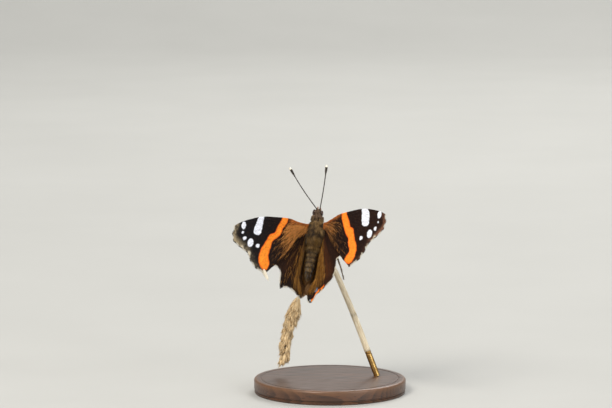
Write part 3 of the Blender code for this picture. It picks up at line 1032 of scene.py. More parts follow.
class Nursery:
    """Small shapes, and the Geometry Nodes that set one on each root and join them into one mesh."""

    def __init__(self) -> None:
        """Make each shape and the tree once."""
        self.shapes = {tuft: self.small_shape(tuft) for tuft in Tuft}
        self.tree = self.planting()

    @staticmethod
    def small_shape(tuft: Tuft) -> Object:
        """Make a small closed shape that tapers to a tip.

        Args:
            tuft: Which shape.

        Returns:
            A hidden object to plant, with its own place on its bake patch.
        """
        sides, tip, rings = tuft.value
        angles = 2.0 * pi * (np.arange(sides) + 0.5) / sides
        shape = stacked([np.column_stack((wide * np.cos(angles), rise + deep * np.sin(angles),
                                          np.full(sides, height))) for height, wide, deep, rise in rings],
                        [(0.0, tip[1], tip[0])])
        x, y, z = shape.points.T
        shape.marks = {"leaf": np.column_stack((x, z - 0.5, 0.0 * x)),
                       "fibre": np.column_stack((x * 1.5, y, z * 4.0))}
        made = shape.write("shape_" + tuft.name.lower())
        made.hide_render = True
        return made

    @staticmethod
    def planting() -> Tree:
        """Build the tree that plants.

        Returns:
            The tree, with inputs for the shape, its finish, uneven widths and their seed.
        """
        tree = Tree("Geometry", "Set shapes on roots", {
            "Roots": "Geometry", "Shape": "Object", "Finish": "Material", "Uneven": 0.25, "Seed": "Int",
            "Patch": BAKE_PATCH}, {"Mesh": "Geometry"})
        net, given = tree.net, tree.given

        def named(title: str) -> Socket:
            """Read a vector that the points carry."""
            node = net.add("GeometryNodeInputNamedAttribute", data_type="FLOAT_VECTOR")
            return net.fed(node, name=title).outputs[0]

        turn = net.add("FunctionNodeAxesToRotation", primary_axis="Z", secondary_axis="Y")
        net.feed(turn.inputs[0], named("lie"))
        net.feed(turn.inputs[1], named("stand"))
        chance = net.add("FunctionNodeRandomValue", data_type="FLOAT")
        low, high = [socket for socket in chance.inputs if socket.type == "VALUE"][:2]
        net.feed(low, net.math("SUBTRACT", 1.0, given["Uneven"]))
        net.feed(high, net.math("ADD", 1.0, given["Uneven"]))
        net.fed(chance, seed=given["Seed"])
        wide = next(socket for socket in chance.outputs if socket.type == "VALUE")
        scale = net.fed(net.add("ShaderNodeCombineXYZ"), x=wide, y=wide, z=1.0).outputs[0]
        shape = net.fed(net.add("GeometryNodeObjectInfo"), object=given["Shape"]).outputs["Geometry"]
        sown = net.fed(net.add("GeometryNodeInstanceOnPoints"), points=given["Roots"], instance=shape,
                       rotation=turn.outputs[0], scale=net.vector("MULTIPLY", named("size"), scale))
        last = net.fed(net.add("GeometryNodeRealizeInstances"), geometry=sown.outputs[0]).outputs[0]
        place = net.vector("ADD", named("patch"), net.vector("SCALE", named("leaf"), given["Patch"]))
        unwrap = net.add("GeometryNodeStoreNamedAttribute", data_type="FLOAT2", domain="CORNER")
        last = net.fed(unwrap, geometry=last, name=BAKE_MAP, value=place).outputs[0]
        for title in ("lie", "stand", "size", "leaf", "patch"):
            last = net.fed(net.add("GeometryNodeRemoveAttribute"), geometry=last, name=title).outputs[0]
        tree.close(last)
        return tree

    def plant(self, name: str, roots: Roots, tuft: Tuft, finish: Material, uneven: float = 0.3) -> Object:
        """Set a shape on every root.

        Args:
            name: The new piece's name.
            roots: Where and how the shapes grow.
            tuft: Which shape grows.
            finish: The piece's finish.
            uneven: How far widths vary.

        Returns:
            The piece, one plain mesh.
        """
        made = roots.shape().write(name, [finish])
        self.tree.use(made, shape=self.shapes[tuft], finish=finish, uneven=uneven, seed=len(name),
                      patch=BAKE_PATCH)
        return made

    def clear(self) -> None:
        """Remove the shapes once everything is planted."""
        for shape in self.shapes.values():
            bpy.data.objects.remove(shape)


@dataclass
class Wing:
    """A thin two-faced membrane with raised veins, a scaly fringe and long hairs at its root."""

    KIND: ClassVar[str] = "wing"
    HOLDER: ClassVar[Matrix] = BODY
    DRAWN: ClassVar[tuple[str, ...]] = ("band", "spots", "dots", "blue")
    side: Side
    half_membrane: float = 0.075
    vein_height: float = 0.10
    vein_width: float = 0.20
    vein_rows: Pair = (0.11, 0.24)
    vein_clear: float = 0.32
    grid: float = 0.42
    fine_grid: float = 0.17
    fine_reach: float = 0.22
    closest: float = 0.09
    fringe: float = 0.40
    fringe_step: float = 0.045
    fringe_size: Pair = (0.095, 0.035)
    hair_size: Pair = (0.066, 0.045)
    hair_length: Pair = (1.2, 2.4)
    hair_tries: int = 40000
    comb_from: Pair = (0.0, 0.0)
    comb_lean: Pair = (0.0, 0.25)
    extent: float = 38.0
    map_shift: float = 6.0
    nudge: float = 0.02
    edge_step: float = 0.24
    vein_step: float = 0.25
    row_step: float = 0.866
    trim: float = 0.04
    ragged: float = 0.09
    nick: float = 0.45

    def __post_init__(self) -> None:
        """Name the wing as its CAD node and work out its veins and its trimmed edge."""
        self.node = f"{self.KIND}_{self.side.word}"
        self.random = np.random.default_rng(sum(map(ord, self.node)))
        self.lines = self.veins()
        self.edge, self.margin = self.trimmed()

    def place(self, plan: Array) -> Array:
        """Lay flat plan points in the holder's frame, in millimetres."""
        raise NotImplementedError

    def outline(self) -> tuple[Array, Array]:
        """Give the CAD outline and, for each of its points, 1 on the outer margin and else 0."""
        raise NotImplementedError

    def veins(self) -> list[Array]:
        """Give the lines of the veins on the plan."""
        raise NotImplementedError

    def marks(self, plan: Array) -> dict[str, Array]:
        """Give the markings' values on the plan."""
        raise NotImplementedError

    def hairiness(self, plan: Array) -> Array:
        """Give how densely long hairs grow, from 0 to 1."""
        raise NotImplementedError

    def comb(self, plan: Array) -> Array:
        """Give the flat direction that hairs lie in."""
        return unit(unit(plan + self.comb_from) + self.comb_lean)

    def normals(self, plan: Array) -> Array:
        """Find which way the upper face looks.

        Args:
            plan: Flat points.

        Returns:
            The dorsal normal at each.
        """
        steps = self.nudge * np.eye(2)
        across, along = (self.place(plan + step) - self.place(plan - step) for step in steps)
        return unit(np.cross(across, along)) * -self.side.value

    def lay(self, plan: Array, aim: Array) -> Array:
        """Turn flat directions at plan points into directions in the holder's frame."""
        return unit(self.place(plan + self.nudge * aim) - self.place(plan - self.nudge * aim))

    def trimmed(self) -> tuple[Array, Array]:
        """Draw the outline in by the fringe's length and roughen its worn margin.

        Returns:
            The membrane's outline and its margin share.
        """
        raw, share = self.outline()
        closed = np.vstack((np.column_stack((raw, share)), [[*raw[0], share[0]]]))
        even = even_steps(closed, self.edge_step)[:-1]
        line, share = even[:, :2], even[:, 2]
        rough = self.random.normal(0.0, 1.0, len(line))
        rough = np.abs(0.5 * rough + 0.25 * (np.roll(rough, 1) + np.roll(rough, -1)))
        nicks = blend(np.convolve(self.random.random(len(line)), np.ones(3) / 3, "same"), 0.72, 0.9)
        depth = self.trim + share * (self.fringe + self.ragged * rough + self.nick * nicks)
        return line - outward_ways(line, 1)[1] * depth[:, None], share

    def lattice(self, step: float) -> Array:
        """Fill the box round the wing's plan with points in staggered rows.

        Args:
            step: Distance between neighbours.

        Returns:
            The points.
        """
        low, high, rows = self.edge.min(0), self.edge.max(0), []
        for index, row in enumerate(np.arange(low[1], high[1], step * self.row_step)):
            across = np.arange(low[0] + (index % 2) * step / 2, high[0], step)
            rows.append(np.column_stack((across, np.full(len(across), row))))
        return np.vstack(rows)

    def membrane(self, materials: Sequence[Material]) -> None:
        """Build the membrane from points along its veins, its markings' edges and a coarse grid.

        Args:
            materials: The dorsal and the ventral finish.
        """
        lines = [even_steps(line, self.vein_step) for line in self.lines]
        wanted = [line[:-1] for line in lines]
        for gap in self.vein_rows:
            for line in lines:
                ahead = unit(np.gradient(line, axis=0))
                across = np.column_stack((-ahead[:, 1], ahead[:, 0])) * gap
                wanted += [line + across, line - across]
        coarse, fine = self.lattice(self.grid), self.lattice(self.fine_grid)
        seen = self.marks(fine)
        drawn = np.min([np.abs(seen[title]) for title in self.DRAWN], axis=0)
        inner = np.vstack((*wanted, fine[drawn < self.fine_reach],
                           coarse[line_gap(coarse, lines) > self.vein_clear]))
        _, first = np.unique(np.floor(inner / self.closest).astype(int), axis=0, return_index=True)
        inner = inner[np.sort(first)]
        inner = inner[signed_gap(inner, self.edge) < -self.closest]
        cut = delaunay_2d_cdt([Vector(point) for point in np.vstack((self.edge, inner))], [],
                              [list(range(len(self.edge)))], 1, 1e-5)
        shape = self.thickened(np.array([tuple(point) for point in cut[0]]), np.array(cut[2]), lines)
        settle(shape.write(self.node + "_membrane", materials, 50.0), Slot.WING, self.node)

    def thickened(self, plan: Array, faces: Array, lines: Sequence[Array]) -> Shape:
        """Give a triangulated plan its two faces, ridged veins, ripples and rim.

        Args:
            plan: Flat points.
            faces: Their triangles.
            lines: The veins.

        Returns:
            The closed membrane.
        """
        (u, v), count = plan.T, len(plan)
        vein = line_gap(plan, lines)
        rim = line_gap(plan, [np.vstack((self.edge, self.edge[:1]))])
        normal = self.normals(plan)
        ripple = 0.05 * np.sin(u * 1.3 + v * 2.1) * blend(vein, 0.1, 0.8) + 0.03 * np.sin(u * 3.1 - v * 1.7)
        middle = self.place(plan) + normal * ripple[:, None]
        half = self.half_membrane * (0.45 + 0.55 * blend(rim, 0.0, 0.5))
        half += self.vein_height * (1.0 - blend(vein, 0.03, self.vein_width)) * blend(rim, 0.0, 0.6)
        points = np.vstack((middle + normal * half[:, None], middle - normal * half[:, None]))
        ends = points[faces]
        facing = np.cross(ends[:, 1] - ends[:, 0], ends[:, 2] - ends[:, 0])
        wrong = (facing * normal[faces[:, 0]]).sum(1) < 0.0
        faces = np.where(wrong[:, None], faces[:, ::-1], faces)
        sides = {tuple(side) for pair in ((0, 1), (1, 2), (2, 0)) for side in faces[:, pair].tolist()}
        rims = [(b, a, a + count, b + count) for a, b in sorted(sides) if (b, a) not in sides]
        marks = {"vein": vein, "plan": np.column_stack((plan, np.zeros(count))), **self.marks(plan)}
        marks = {title: np.concatenate((values, values)) for title, values in marks.items()}
        dress = [0] * len(faces) + [1] * len(faces) + [0] * len(rims)
        return Shape(in_world(points, self.HOLDER), faces.tolist() + (faces[:, ::-1] + count).tolist() + rims,
                     marks, dress)

    def patch(self, plan: Array) -> Array:
        """Give the place of plan points on the unwrapped wing."""
        return on_map((plan + self.map_shift) / self.extent)

    def fringe_roots(self) -> Roots:
        """Set the fringe's roots close together along the membrane's outer margin.

        Returns:
            The roots, pale between the veins and dark where one meets the margin.
        """
        closed = np.column_stack((self.edge, self.margin))
        dense = even_steps(np.vstack((closed, closed[:1])), self.fringe_step)[:-1]
        rooted, share = dense[:, :2], dense[:, 2]
        ahead, outward = outward_ways(rooted, 3)
        kept = (share > 0.5) & (self.random.random(len(rooted)) < 0.9)
        rooted, outward, ahead = rooted[kept], outward[kept], ahead[kept]
        count, plan = len(rooted), rooted - outward * 0.10
        aim = unit(outward + ahead * self.random.normal(0.0, 0.22, count)[:, None])
        normal = self.normals(plan)
        lie = self.lay(plan, aim) + normal * self.random.normal(0.0, 0.10, count)[:, None]
        ends = line_gap(rooted, [line[-2:] for line in self.lines])
        pale = blend(ends, 0.45, 0.95) * self.random.uniform(0.55, 1.0, count)
        length = self.random.uniform(0.55, 1.0, count) * (self.fringe + 0.22) * (0.8 + 0.3 * pale)
        return Roots(self.HOLDER, self.place(plan), lie, normal, (*self.fringe_size, length), pale,
                     self.patch(plan))

    def hair_roots(self) -> Roots:
        """Set the roots of the long hairs that lie in streaks along the wing's inner part.

        Returns:
            The roots.
        """
        plan = self.random.uniform(self.edge.min(0), self.edge.max(0), (self.hair_tries, 2))
        plan = plan[signed_gap(plan, self.edge) < -0.35]
        dense = self.hairiness(plan) * (0.65 + 1.1 * self.streaks(plan))
        plan = plan[self.random.random(len(plan)) < dense]
        count = len(plan)
        aim = unit(self.comb(plan) + self.random.normal(0.0, 0.09, plan.shape))
        normal = self.normals(plan)
        lie = self.lay(plan, aim) + normal * self.random.uniform(0.04, 0.17, count)[:, None]
        near = 1.0 - blend(np.linalg.norm(plan, axis=1), 6.0, 15.0)
        length = self.random.uniform(*self.hair_length, count) * (0.75 + 0.35 * near)
        # The pose makes the hairs near the root paler; on the left forewing most of this is a painted
        # highlight
        tint = self.random.normal(0.50, 0.22, count) + self.pose.hair_glow * near + 0.9 * self.streaks(plan)
        places = self.place(plan) + normal * (self.half_membrane * 0.6)
        return Roots(self.HOLDER, places, lie, normal, (*self.hair_size, length),
                     np.clip(tint, 0.0, 1.0) ** 1.8, self.patch(plan))

    @staticmethod
    def streaks(plan: Array) -> Array:
        """Draw uneven streaks that fan out from the root.

        Args:
            plan: Flat points.

        Returns:
            A value from -0.5 to 0.5 for each point.
        """
        turns = np.arange(-90.0, 200.0, 2.4)
        angle = np.degrees(np.arctan2(plan[:, 1] + 1.0, plan[:, 0] + 1.5))
        return np.interp(angle, turns, np.random.default_rng(3).uniform(-0.5, 0.5, len(turns)))


@dataclass(frozen=True)
class ForewingPose:
    """How one forewing is hinged and raised, where its plan starts, and its own markings."""

    hinge: Triple
    dihedral: float
    sweep: float
    root: float
    band_outer: Pairs
    band_inner: Pairs
    bar: Pairs
    ovals: tuple[tuple[float, float, float, float, float], ...]
    bleached: Pairs
    rust_rows: Triple
    rust_reach: Pair
    hair_reach: float
    hair_most: float
    # How much paler the hairs near the root are: 0.12 is their own paleness, and the left forewing's extra is
    # a painted highlight
    hair_glow: float
    worn_reach: float


FOREWING_POSES = {
    Side.LEFT: ForewingPose(
        (-2.22, -1.0, 0.93), 52.4, -8.6, 0.95,
        ((11.0, -2.9), (12.4, -0.9), (13.3, 0.5), (14.1, 2.0), (15.9, 2.35), (16.7, 3.45),
         (18.1, 5.5), (19.0, 7.0), (19.3, 8.9), (18.6, 10.8), (16.6, 12.3)),
        ((15.4, 12.1), (14.55, 10.75), (14.8, 9.8), (15.5, 8.3), (14.7, 5.5), (14.3, 4.15),
         (12.75, 3.4), (11.4, 2.35), (10.9, 0.8), (9.3, -0.75), (9.0, -2.9)),
        ((20.85, -2.9), (21.8, -0.9), (22.45, 1.3), (22.15, 2.15), (21.0, 2.5), (19.8, 2.25),
         (19.25, -0.25), (19.0, -2.9)),
        ((26.6, -0.1, 0.80, 1.05, 8.0), (26.7, 1.8, 0.45, 0.34, 0.0), (25.7, 3.4, 0.68, 0.50, 0.0),
         (23.2, 4.65, 1.12, 1.18, 20.0), (20.2, 5.5, 0.72, 0.54, 0.0)),
        ((24.2, 8.5), (23.4, 7.7), (22.3, 10.4), (26.4, 6.2), (16.3, 13.2)),
        # the left forewing's 0.60 for the hairs near the root is mostly a painted highlight
        (0.0, 0.4, 4.4), (7.0, 9.4), 13.0, 1.0, 0.60, 2.8),
    Side.RIGHT: ForewingPose(
        (1.32, -1.0, 2.00), 53.8, 12.3, 2.35,
        ((11.4, -2.9), (13.1, -0.45), (14.1, 1.05), (14.45, 2.1), (16.1, 2.65), (16.6, 4.1),
         (17.5, 6.2), (18.4, 7.5), (18.35, 9.4), (18.2, 10.5), (16.85, 12.0), (15.5, 12.5)),
        ((14.0, 12.1), (13.2, 11.1), (14.05, 10.05), (15.25, 8.8), (14.55, 7.55), (14.2, 6.1),
         (13.7, 4.8), (12.4, 3.7), (11.6, 2.2), (10.15, -0.2), (9.4, -2.9)),
        ((20.4, -2.9), (22.5, -1.55), (23.0, 0.47), (22.85, 2.2), (21.5, 2.6), (20.0, 1.9),
         (19.4, -0.6), (19.1, -2.9)),
        ((27.4, -0.1, 0.80, 1.05, 6.0), (27.2, 1.9, 0.34, 0.26, 0.0), (26.2, 3.6, 0.68, 0.52, 0.0),
         (23.8, 4.85, 1.10, 1.20, 28.0), (20.1, 5.7, 0.72, 0.56, 0.0)),
        ((26.3, 6.3), (23.9, 8.2), (23.4, 8.9)),
        (0.28, 0.2, 1.9), (8.6, 10.0), 8.0, 0.6, 0.12, 2.2),
}


@dataclass
class Forewing(Wing):
    """A forewing with its orange band, white bar and white spots."""

    KIND = "forewing"
    comb_from: Pair = (1.5, 0.5)
    comb_lean: Pair = (0.10, 0.38)
    costa: Pairs = ((4.6, -1.05), (8.4, -2.0), (14.0, -2.4), (20.0, -2.5), (26.5, -1.35))
    tips: Pairs = ((30.3, 0.0), (31.0, 2.0), (30.1, 4.4), (27.2, 6.1), (24.3, 7.5), (22.6, 9.8), (20.2, 11.9),
                   (15.9, 13.6))
    inner_edge: Pairs = ((11.3, 10.4), (6.4, 6.2), (3.2, 2.9))
    vein_ends: tuple[tuple[Pair, Pair, float], ...] = (
        ((1.4, -0.20), (15.5, -2.1), 0.25), ((1.4, 0.0), (13.5, -0.8), 0.10),
        ((9.5, -0.7), (21.0, -2.2), 0.10), ((13.5, -0.8), (27.0, -0.95), 0.20),
        ((13.5, -0.8), (31.0, 2.0), 0.55), ((13.6, -0.2), (30.1, 4.4), 0.40),
        ((13.7, 0.7), (27.2, 6.1), 0.20), ((13.3, 1.9), (24.3, 7.5), 0.0),
        ((1.4, 0.25), (13.3, 1.9), -0.20), ((11.0, 1.55), (22.6, 9.8), -0.20),
        ((6.8, 1.05), (20.2, 11.9), -0.50), ((1.4, 0.45), (15.9, 13.6), -0.80))
    eyespots: Pairs = ((25.4, 1.0), (24.3, 2.9), (17.2, -1.5))
    eyespot_radii: Pair = (0.7, 0.5)
    scallop: float = 0.28
    camber: float = 0.35
    span: float = 31.0
    heel: float = 1.5

    def __post_init__(self) -> None:
        """Take the side's own pose."""
        self.pose = FOREWING_POSES[self.side]
        super().__post_init__()

    def place(self, plan: Array) -> Array:
        """Lay flat plan points in the body's frame.

        Args:
            plan: Flat points.

        Returns:
            Points in millimetres.
        """
        (flat, steep), (near, turned_up) = flat_ray(self.pose.dihedral), flat_ray(self.pose.sweep)
        across, dorsal = self.side.mirrored((flat, -steep, 0.0)), self.side.mirrored((-steep, -flat, 0.0))
        ahead = np.array((0.0, 0.0, 1.0))
        rise = self.camber * np.sin(np.pi * np.clip(plan[:, 0] / self.span, 0.0, 1.0))
        ways = np.array((near * across + turned_up * ahead, turned_up * across - near * ahead, dorsal))
        return np.array(self.pose.hinge) + np.column_stack((plan, rise)) @ ways

    def outline(self) -> tuple[Array, Array]:
        """Give the CAD outline, with its root drawn in to the body.

        Returns:
            The outline and its margin share.
        """
        root, keys = self.pose.root, np.array(self.tips)
        front = smooth_way([(root, -0.45), *self.costa, self.tips[0]], 6)[:-1]
        bays = [keys[0]]
        for start, end in zip(keys, keys[1:]):
            inward = unit(np.array((6.0, 2.0)) - (start + end) / 2)
            bays += [(start + end) / 2 + inward * self.scallop, end]
        margin = smooth_way(bays, 4)
        rear = smooth_way([self.tips[-1], *self.inner_edge, (root - 0.2, 1.8)], 6)[1:]
        heel = np.array(((root - self.heel, self.heel), (root - self.heel, -0.45)))
        share = (np.zeros(len(front)), np.ones(len(margin)), 0.45 * (rear[:, 0] > 9.0), np.zeros(2))
        return np.vstack((front, margin, rear, heel)), np.concatenate(share)

    def veins(self) -> list[Array]:
        """Give the bowed lines of the veins on the plan.

        Returns:
            The lines.
        """
        lines, t = [], np.linspace(0.0, 1.0, 24)[:, None]
        for start, end, bow in self.vein_ends:
            start, end = np.array(start), np.array(end)
            across = unit(np.array((end[1] - start[1], start[0] - end[0])))
            lines.append(start + (end - start) * t - across * bow * np.sin(np.pi * t))
        return lines

    def marks(self, plan: Array) -> dict[str, Array]:
        """Give the values of the band, bar, spots, rust, wear and hair ground on the plan.

        Args:
            plan: Flat points.

        Returns:
            One value for each point by mark.
        """
        pose, (u, v) = self.pose, plan.T
        band = np.vstack((smooth_way(pose.band_outer, 2), smooth_way(pose.band_inner, 2)))
        white = [oval_gap(plan, (a, b), (c, d), e) for a, b, c, d, e in pose.ovals]
        rings = [oval_gap(plan, spot, self.eyespot_radii) for spot in self.eyespots]
        rim = line_gap(plan, [smooth_way(self.tips, 4)])
        lean, low, high = pose.rust_rows
        rust = (1.0 - blend(v + lean * u, low, high)) * (1.0 - blend(u, *pose.rust_reach))
        rust = rust + 0.5 * (1.0 - blend(u, 2.0, 4.5)) * (1.0 - blend(v, 2.0, 5.0))
        bleached = np.min([np.linalg.norm(plan - place, axis=1) for place in pose.bleached], axis=0)
        absent, nothing = np.full(len(plan), ABSENT), np.zeros(len(plan))
        return {"band": signed_gap(plan, band), "dots": absent, "blue": absent, "fold": nothing,
                "spots": np.min([signed_gap(plan, smooth_way(pose.bar, 4)), *white], axis=0),
                "eyespot": np.min(rings, axis=0),
                "rust": np.clip(rust, 0.0, 1.0),
                "gold": 0.7 * (1.0 - blend(u, 3.0, 9.5)) * blend(v, -0.5, 1.5),
                "worn": (1.0 - blend(rim, 0.2, pose.worn_reach)) * (0.45 + 0.55 * blend(u, 25.0, 29.0)),
                "ivory": 0.9 * (1.0 - blend(bleached, 0.4, 1.1)),
                "far": blend(u, 4.0, 29.0), "cryptic": blend(u, 21.0, 26.0),
                "ray": np.column_stack((u * 0.22, v * 1.9 - u * 0.9, nothing))}

    def hairiness(self, plan: Array) -> Array:
        """Give how densely long hairs grow inside the orange band.

        Args:
            plan: Flat points.

        Returns:
            A share from 0 to 1 for each point.
        """
        u, v = plan.T
        inner = np.array(self.pose.band_inner)[::-1]
        clear = np.interp(v, inner[:, 1], inner[:, 0]) - u
        grown = self.pose.hair_most * (1.0 - 0.93 * blend(np.hypot(u, v), 2.0, self.pose.hair_reach))
        return grown * blend(v, -1.4, 0.4) * blend(clear, 0.8, 2.2)


@dataclass(frozen=True)
class HindwingPose:
    """How one hindwing is hinged and fanned, its worn margin by azimuth and reach, and its markings.

    A dot has an azimuth, a reach and a radius. Zones run in azimuth from their first to their last value.
    """

    hinge: Triple
    dihedral: Pair
    rise_from: float
    reach: Pairs
    hair_zone: Pair
    hair_least: float
    hair_clear: Pair
    gold_zone: Pair
    gold_reach: Pair
    rust: float
    # How much paler the hairs near the root are, with no painted highlight on either hindwing
    hair_glow: float = 0.12
    strip_zone: Pair = (62.0, 84.5)
    strip: float = -ABSENT
    black: Triples = ()
    blue: Triples = ()
    white: Triples = ()
    ivory: Triples = ()


HINDWING_POSES = {
    Side.LEFT: HindwingPose(
        (-2.75, -0.30, -1.6), (51.5, 80.0), 44.0,
        ((6, 15.5), (14, 16.8), (26, 17.2), (36, 16.2), (44, 14.2), (52, 14.0), (57, 16.1),
         (62, 18.0), (66, 16.8), (72, 16.0), (79, 16.2), (86, 17.2), (94, 17.8), (102, 17.7)),
        (73.0, 88.0), 0.035, (1.6, 4.0), (73.0, 88.0), (14.5, 17.5), 0.04, ivory=((60.8, 18.1, 0.8),)),
    Side.RIGHT: HindwingPose(
        (2.55, -0.30, -1.1), (52.5, 80.0), 26.0,
        ((6, 14.0), (14, 14.5), (21, 13.0), (27, 10.9), (33, 10.4), (39, 12.4), (45, 14.3),
         (52, 15.3), (60, 15.8), (66, 16.3), (76, 16.8), (81, 18.8), (87, 18.9), (99, 17.4)),
        (55.0, 71.0), 0.0, (3.0, 5.0), (59.0, 75.0), (13.5, 16.5), 0.12, strip=1.2,
        black=((63.5, 15.7, 0.34), (70.2, 15.75, 0.44), (86.5, 18.2, 1.15)), blue=((78.6, 15.2, 0.72),),
        white=((84.6, 18.15, 0.24), (88.6, 18.35, 0.24))),
}


@dataclass
class Hindwing(Wing):
    """A hindwing, fanned from its hinge and folded to a trough beside the abdomen."""

    KIND = "hindwing"
    HOLDER = TRUNK
    hair_length: Pair = (1.7, 3.2)
    hair_tries: int = 32000
    vein_turns: tuple[float, ...] = (10, 22, 37, 50, 62, 73, 84, 94)
    eyespot_turns: tuple[float, ...] = (16.0, 56.0, 67.5, 78.5)
    eyespot: Pair = (12.4, 0.55)
    fold: Pairs = ((17.1, 1.5), (15.8, 2.7), (13.0, 3.0), (9.0, 2.9), (5.0, 2.2), (2.4, 1.1))
    heel: Pairs = ((-0.75, 0.5), (-0.7, -0.8), (-0.6, -1.9), (2.6, -1.7), (6.0, -0.7), (11.0, 0.5))
    closing: float = 1.5
    fold_turn: float = 0.50

    def __post_init__(self) -> None:
        """Take the side's own pose, and the ray past which the wing folds in, with the way across it."""
        self.pose = HINDWING_POSES[self.side]
        self.rim = smooth_way(self.pose.reach, 6)
        self.ray, self.across = (flat_ray(self.pose.reach[-1][0] + turn) for turn in (0.0, 90.0))
        super().__post_init__()

    @staticmethod
    def polar(plan: Array) -> tuple[Array, Array]:
        """Give the azimuth in degrees and the reach of plan points."""
        return np.degrees(np.arctan2(plan[:, 1], plan[:, 0])), np.hypot(plan[:, 0], plan[:, 1])

    def place(self, plan: Array) -> Array:
        """Lay flat plan points in the trunk's frame, folded under the abdomen past the last ray.

        Args:
            plan: Flat points.

        Returns:
            Points in millimetres.
        """
        beyond = np.maximum(plan @ self.across, 0.0)
        kept = plan - beyond[:, None] * self.across
        (u, v), (azimuth, reach) = kept.T, self.polar(kept)
        start, (low, high) = self.pose.rise_from, self.pose.dihedral
        tilt = np.radians(low + (high - low) * np.clip((azimuth - start) / (90.0 - start), 0.0, 1.0))
        shut = self.closing * blend(reach, 10.5, 16.5) * blend(azimuth, 72.0, 92.0)
        steep = radians(high)
        bent = steep - self.fold_turn * beyond
        inward = (sin(steep) - np.sin(bent)) / self.fold_turn
        under = (np.cos(bent) - cos(steep)) / self.fold_turn
        out = self.side.value * (u * np.cos(tilt) - shut - inward)
        return np.array(self.pose.hinge) + np.column_stack(
            (out, under - u * np.sin(tilt), -v - beyond * self.across[1]))

    def outline(self) -> tuple[Array, Array]:
        """Give the CAD outline with its inner fold and its root drawn in to the body.

        Returns:
            The outline and its margin share.
        """
        azimuth, reach = self.rim.T
        rim = reach[:, None] * np.column_stack((np.cos(np.radians(azimuth)), np.sin(np.radians(azimuth))))
        folded = [far * self.ray + wide * self.across for far, wide in ((reach[-1] - 0.1, 0.5), *self.fold)]
        inner, heel = smooth_way(folded, 4), np.array(self.heel)
        return np.vstack((rim, inner, heel)), np.repeat((1.0, 0.0), (len(rim), len(inner) + len(heel)))

    def veins(self) -> list[Array]:
        """Give the lines of the veins on the plan.

        Returns:
            The lines.
        """
        lines, t = [], np.linspace(0.0, 1.0, 20)[:, None]
        for azimuth in self.vein_turns:
            length = float(np.interp(azimuth, *self.rim.T)) - 1.9
            aim = flat_ray(azimuth)
            bow = np.array((aim[1], -aim[0])) * 0.3 * aim[0] * np.sin(np.pi * t)
            lines.append(aim * (1.6 + length * t) - bow)
        return lines

    def dots(self, plan: Array, dots: Sequence[Triple]) -> Array:
        """Measure from each plan point to the nearest dot's edge, below zero inside one."""
        gaps = [np.linalg.norm(plan - far * flat_ray(turn), axis=1) - radius for turn, far, radius in dots]
        return np.min([np.full(len(plan), ABSENT), *gaps], axis=0)

    def marks(self, plan: Array) -> dict[str, Array]:
        """Give the values of the marginal strip, dots, hair ground and wear on the plan.

        Args:
            plan: Flat points.

        Returns:
            One value for each point by mark.
        """
        pose, (azimuth, reach) = self.pose, self.polar(plan)
        rim = np.interp(azimuth, *self.rim.T) - reach
        first, last = pose.strip_zone
        ends = np.maximum(first - azimuth, azimuth - last) * np.radians(1.0) * reach
        inner = blend(azimuth, *pose.gold_zone)
        return {"band": np.maximum(rim - pose.strip, ends), "dots": self.dots(plan, pose.black),
                "blue": self.dots(plan, pose.blue), "spots": self.dots(plan, pose.white),
                "eyespot": self.dots(plan, [(turn, *self.eyespot) for turn in self.eyespot_turns]),
                "ivory": 0.9 * blend(-self.dots(plan, pose.ivory), -0.2, 0.5),
                "gold": 0.5 * inner * (1.0 - blend(reach, *pose.gold_reach)),
                "rust": pose.rust * blend(azimuth, 38.0, 56.0) * (1.0 - blend(reach, 12.0, 15.5)),
                "fold": blend(azimuth, 90.0, 99.0) * blend(reach, 8.0, 12.0),
                "worn": 0.5 * (1.0 - blend(rim, 0.1, 1.4)), "far": blend(reach, 4.0, 17.0),
                "cryptic": np.ones(len(plan)),
                "ray": np.column_stack((reach * 0.16, azimuth * 0.42, np.zeros(len(plan))))}

    def hairiness(self, plan: Array) -> Array:
        """Give how densely long hairs grow towards the inner edge.

        Args:
            plan: Flat points.

        Returns:
            A share from 0 to 1 for each point.
        """
        pose, (azimuth, reach) = self.pose, self.polar(plan)
        grown = pose.hair_least + (1.0 - pose.hair_least) * blend(azimuth, *pose.hair_zone)
        clear = blend(np.interp(azimuth, *self.rim.T) - reach, *pose.hair_clear)
        return grown * clear * (1.0 - 0.8 * blend(azimuth, 88.0, 97.0) * blend(reach, 9.0, 13.0))


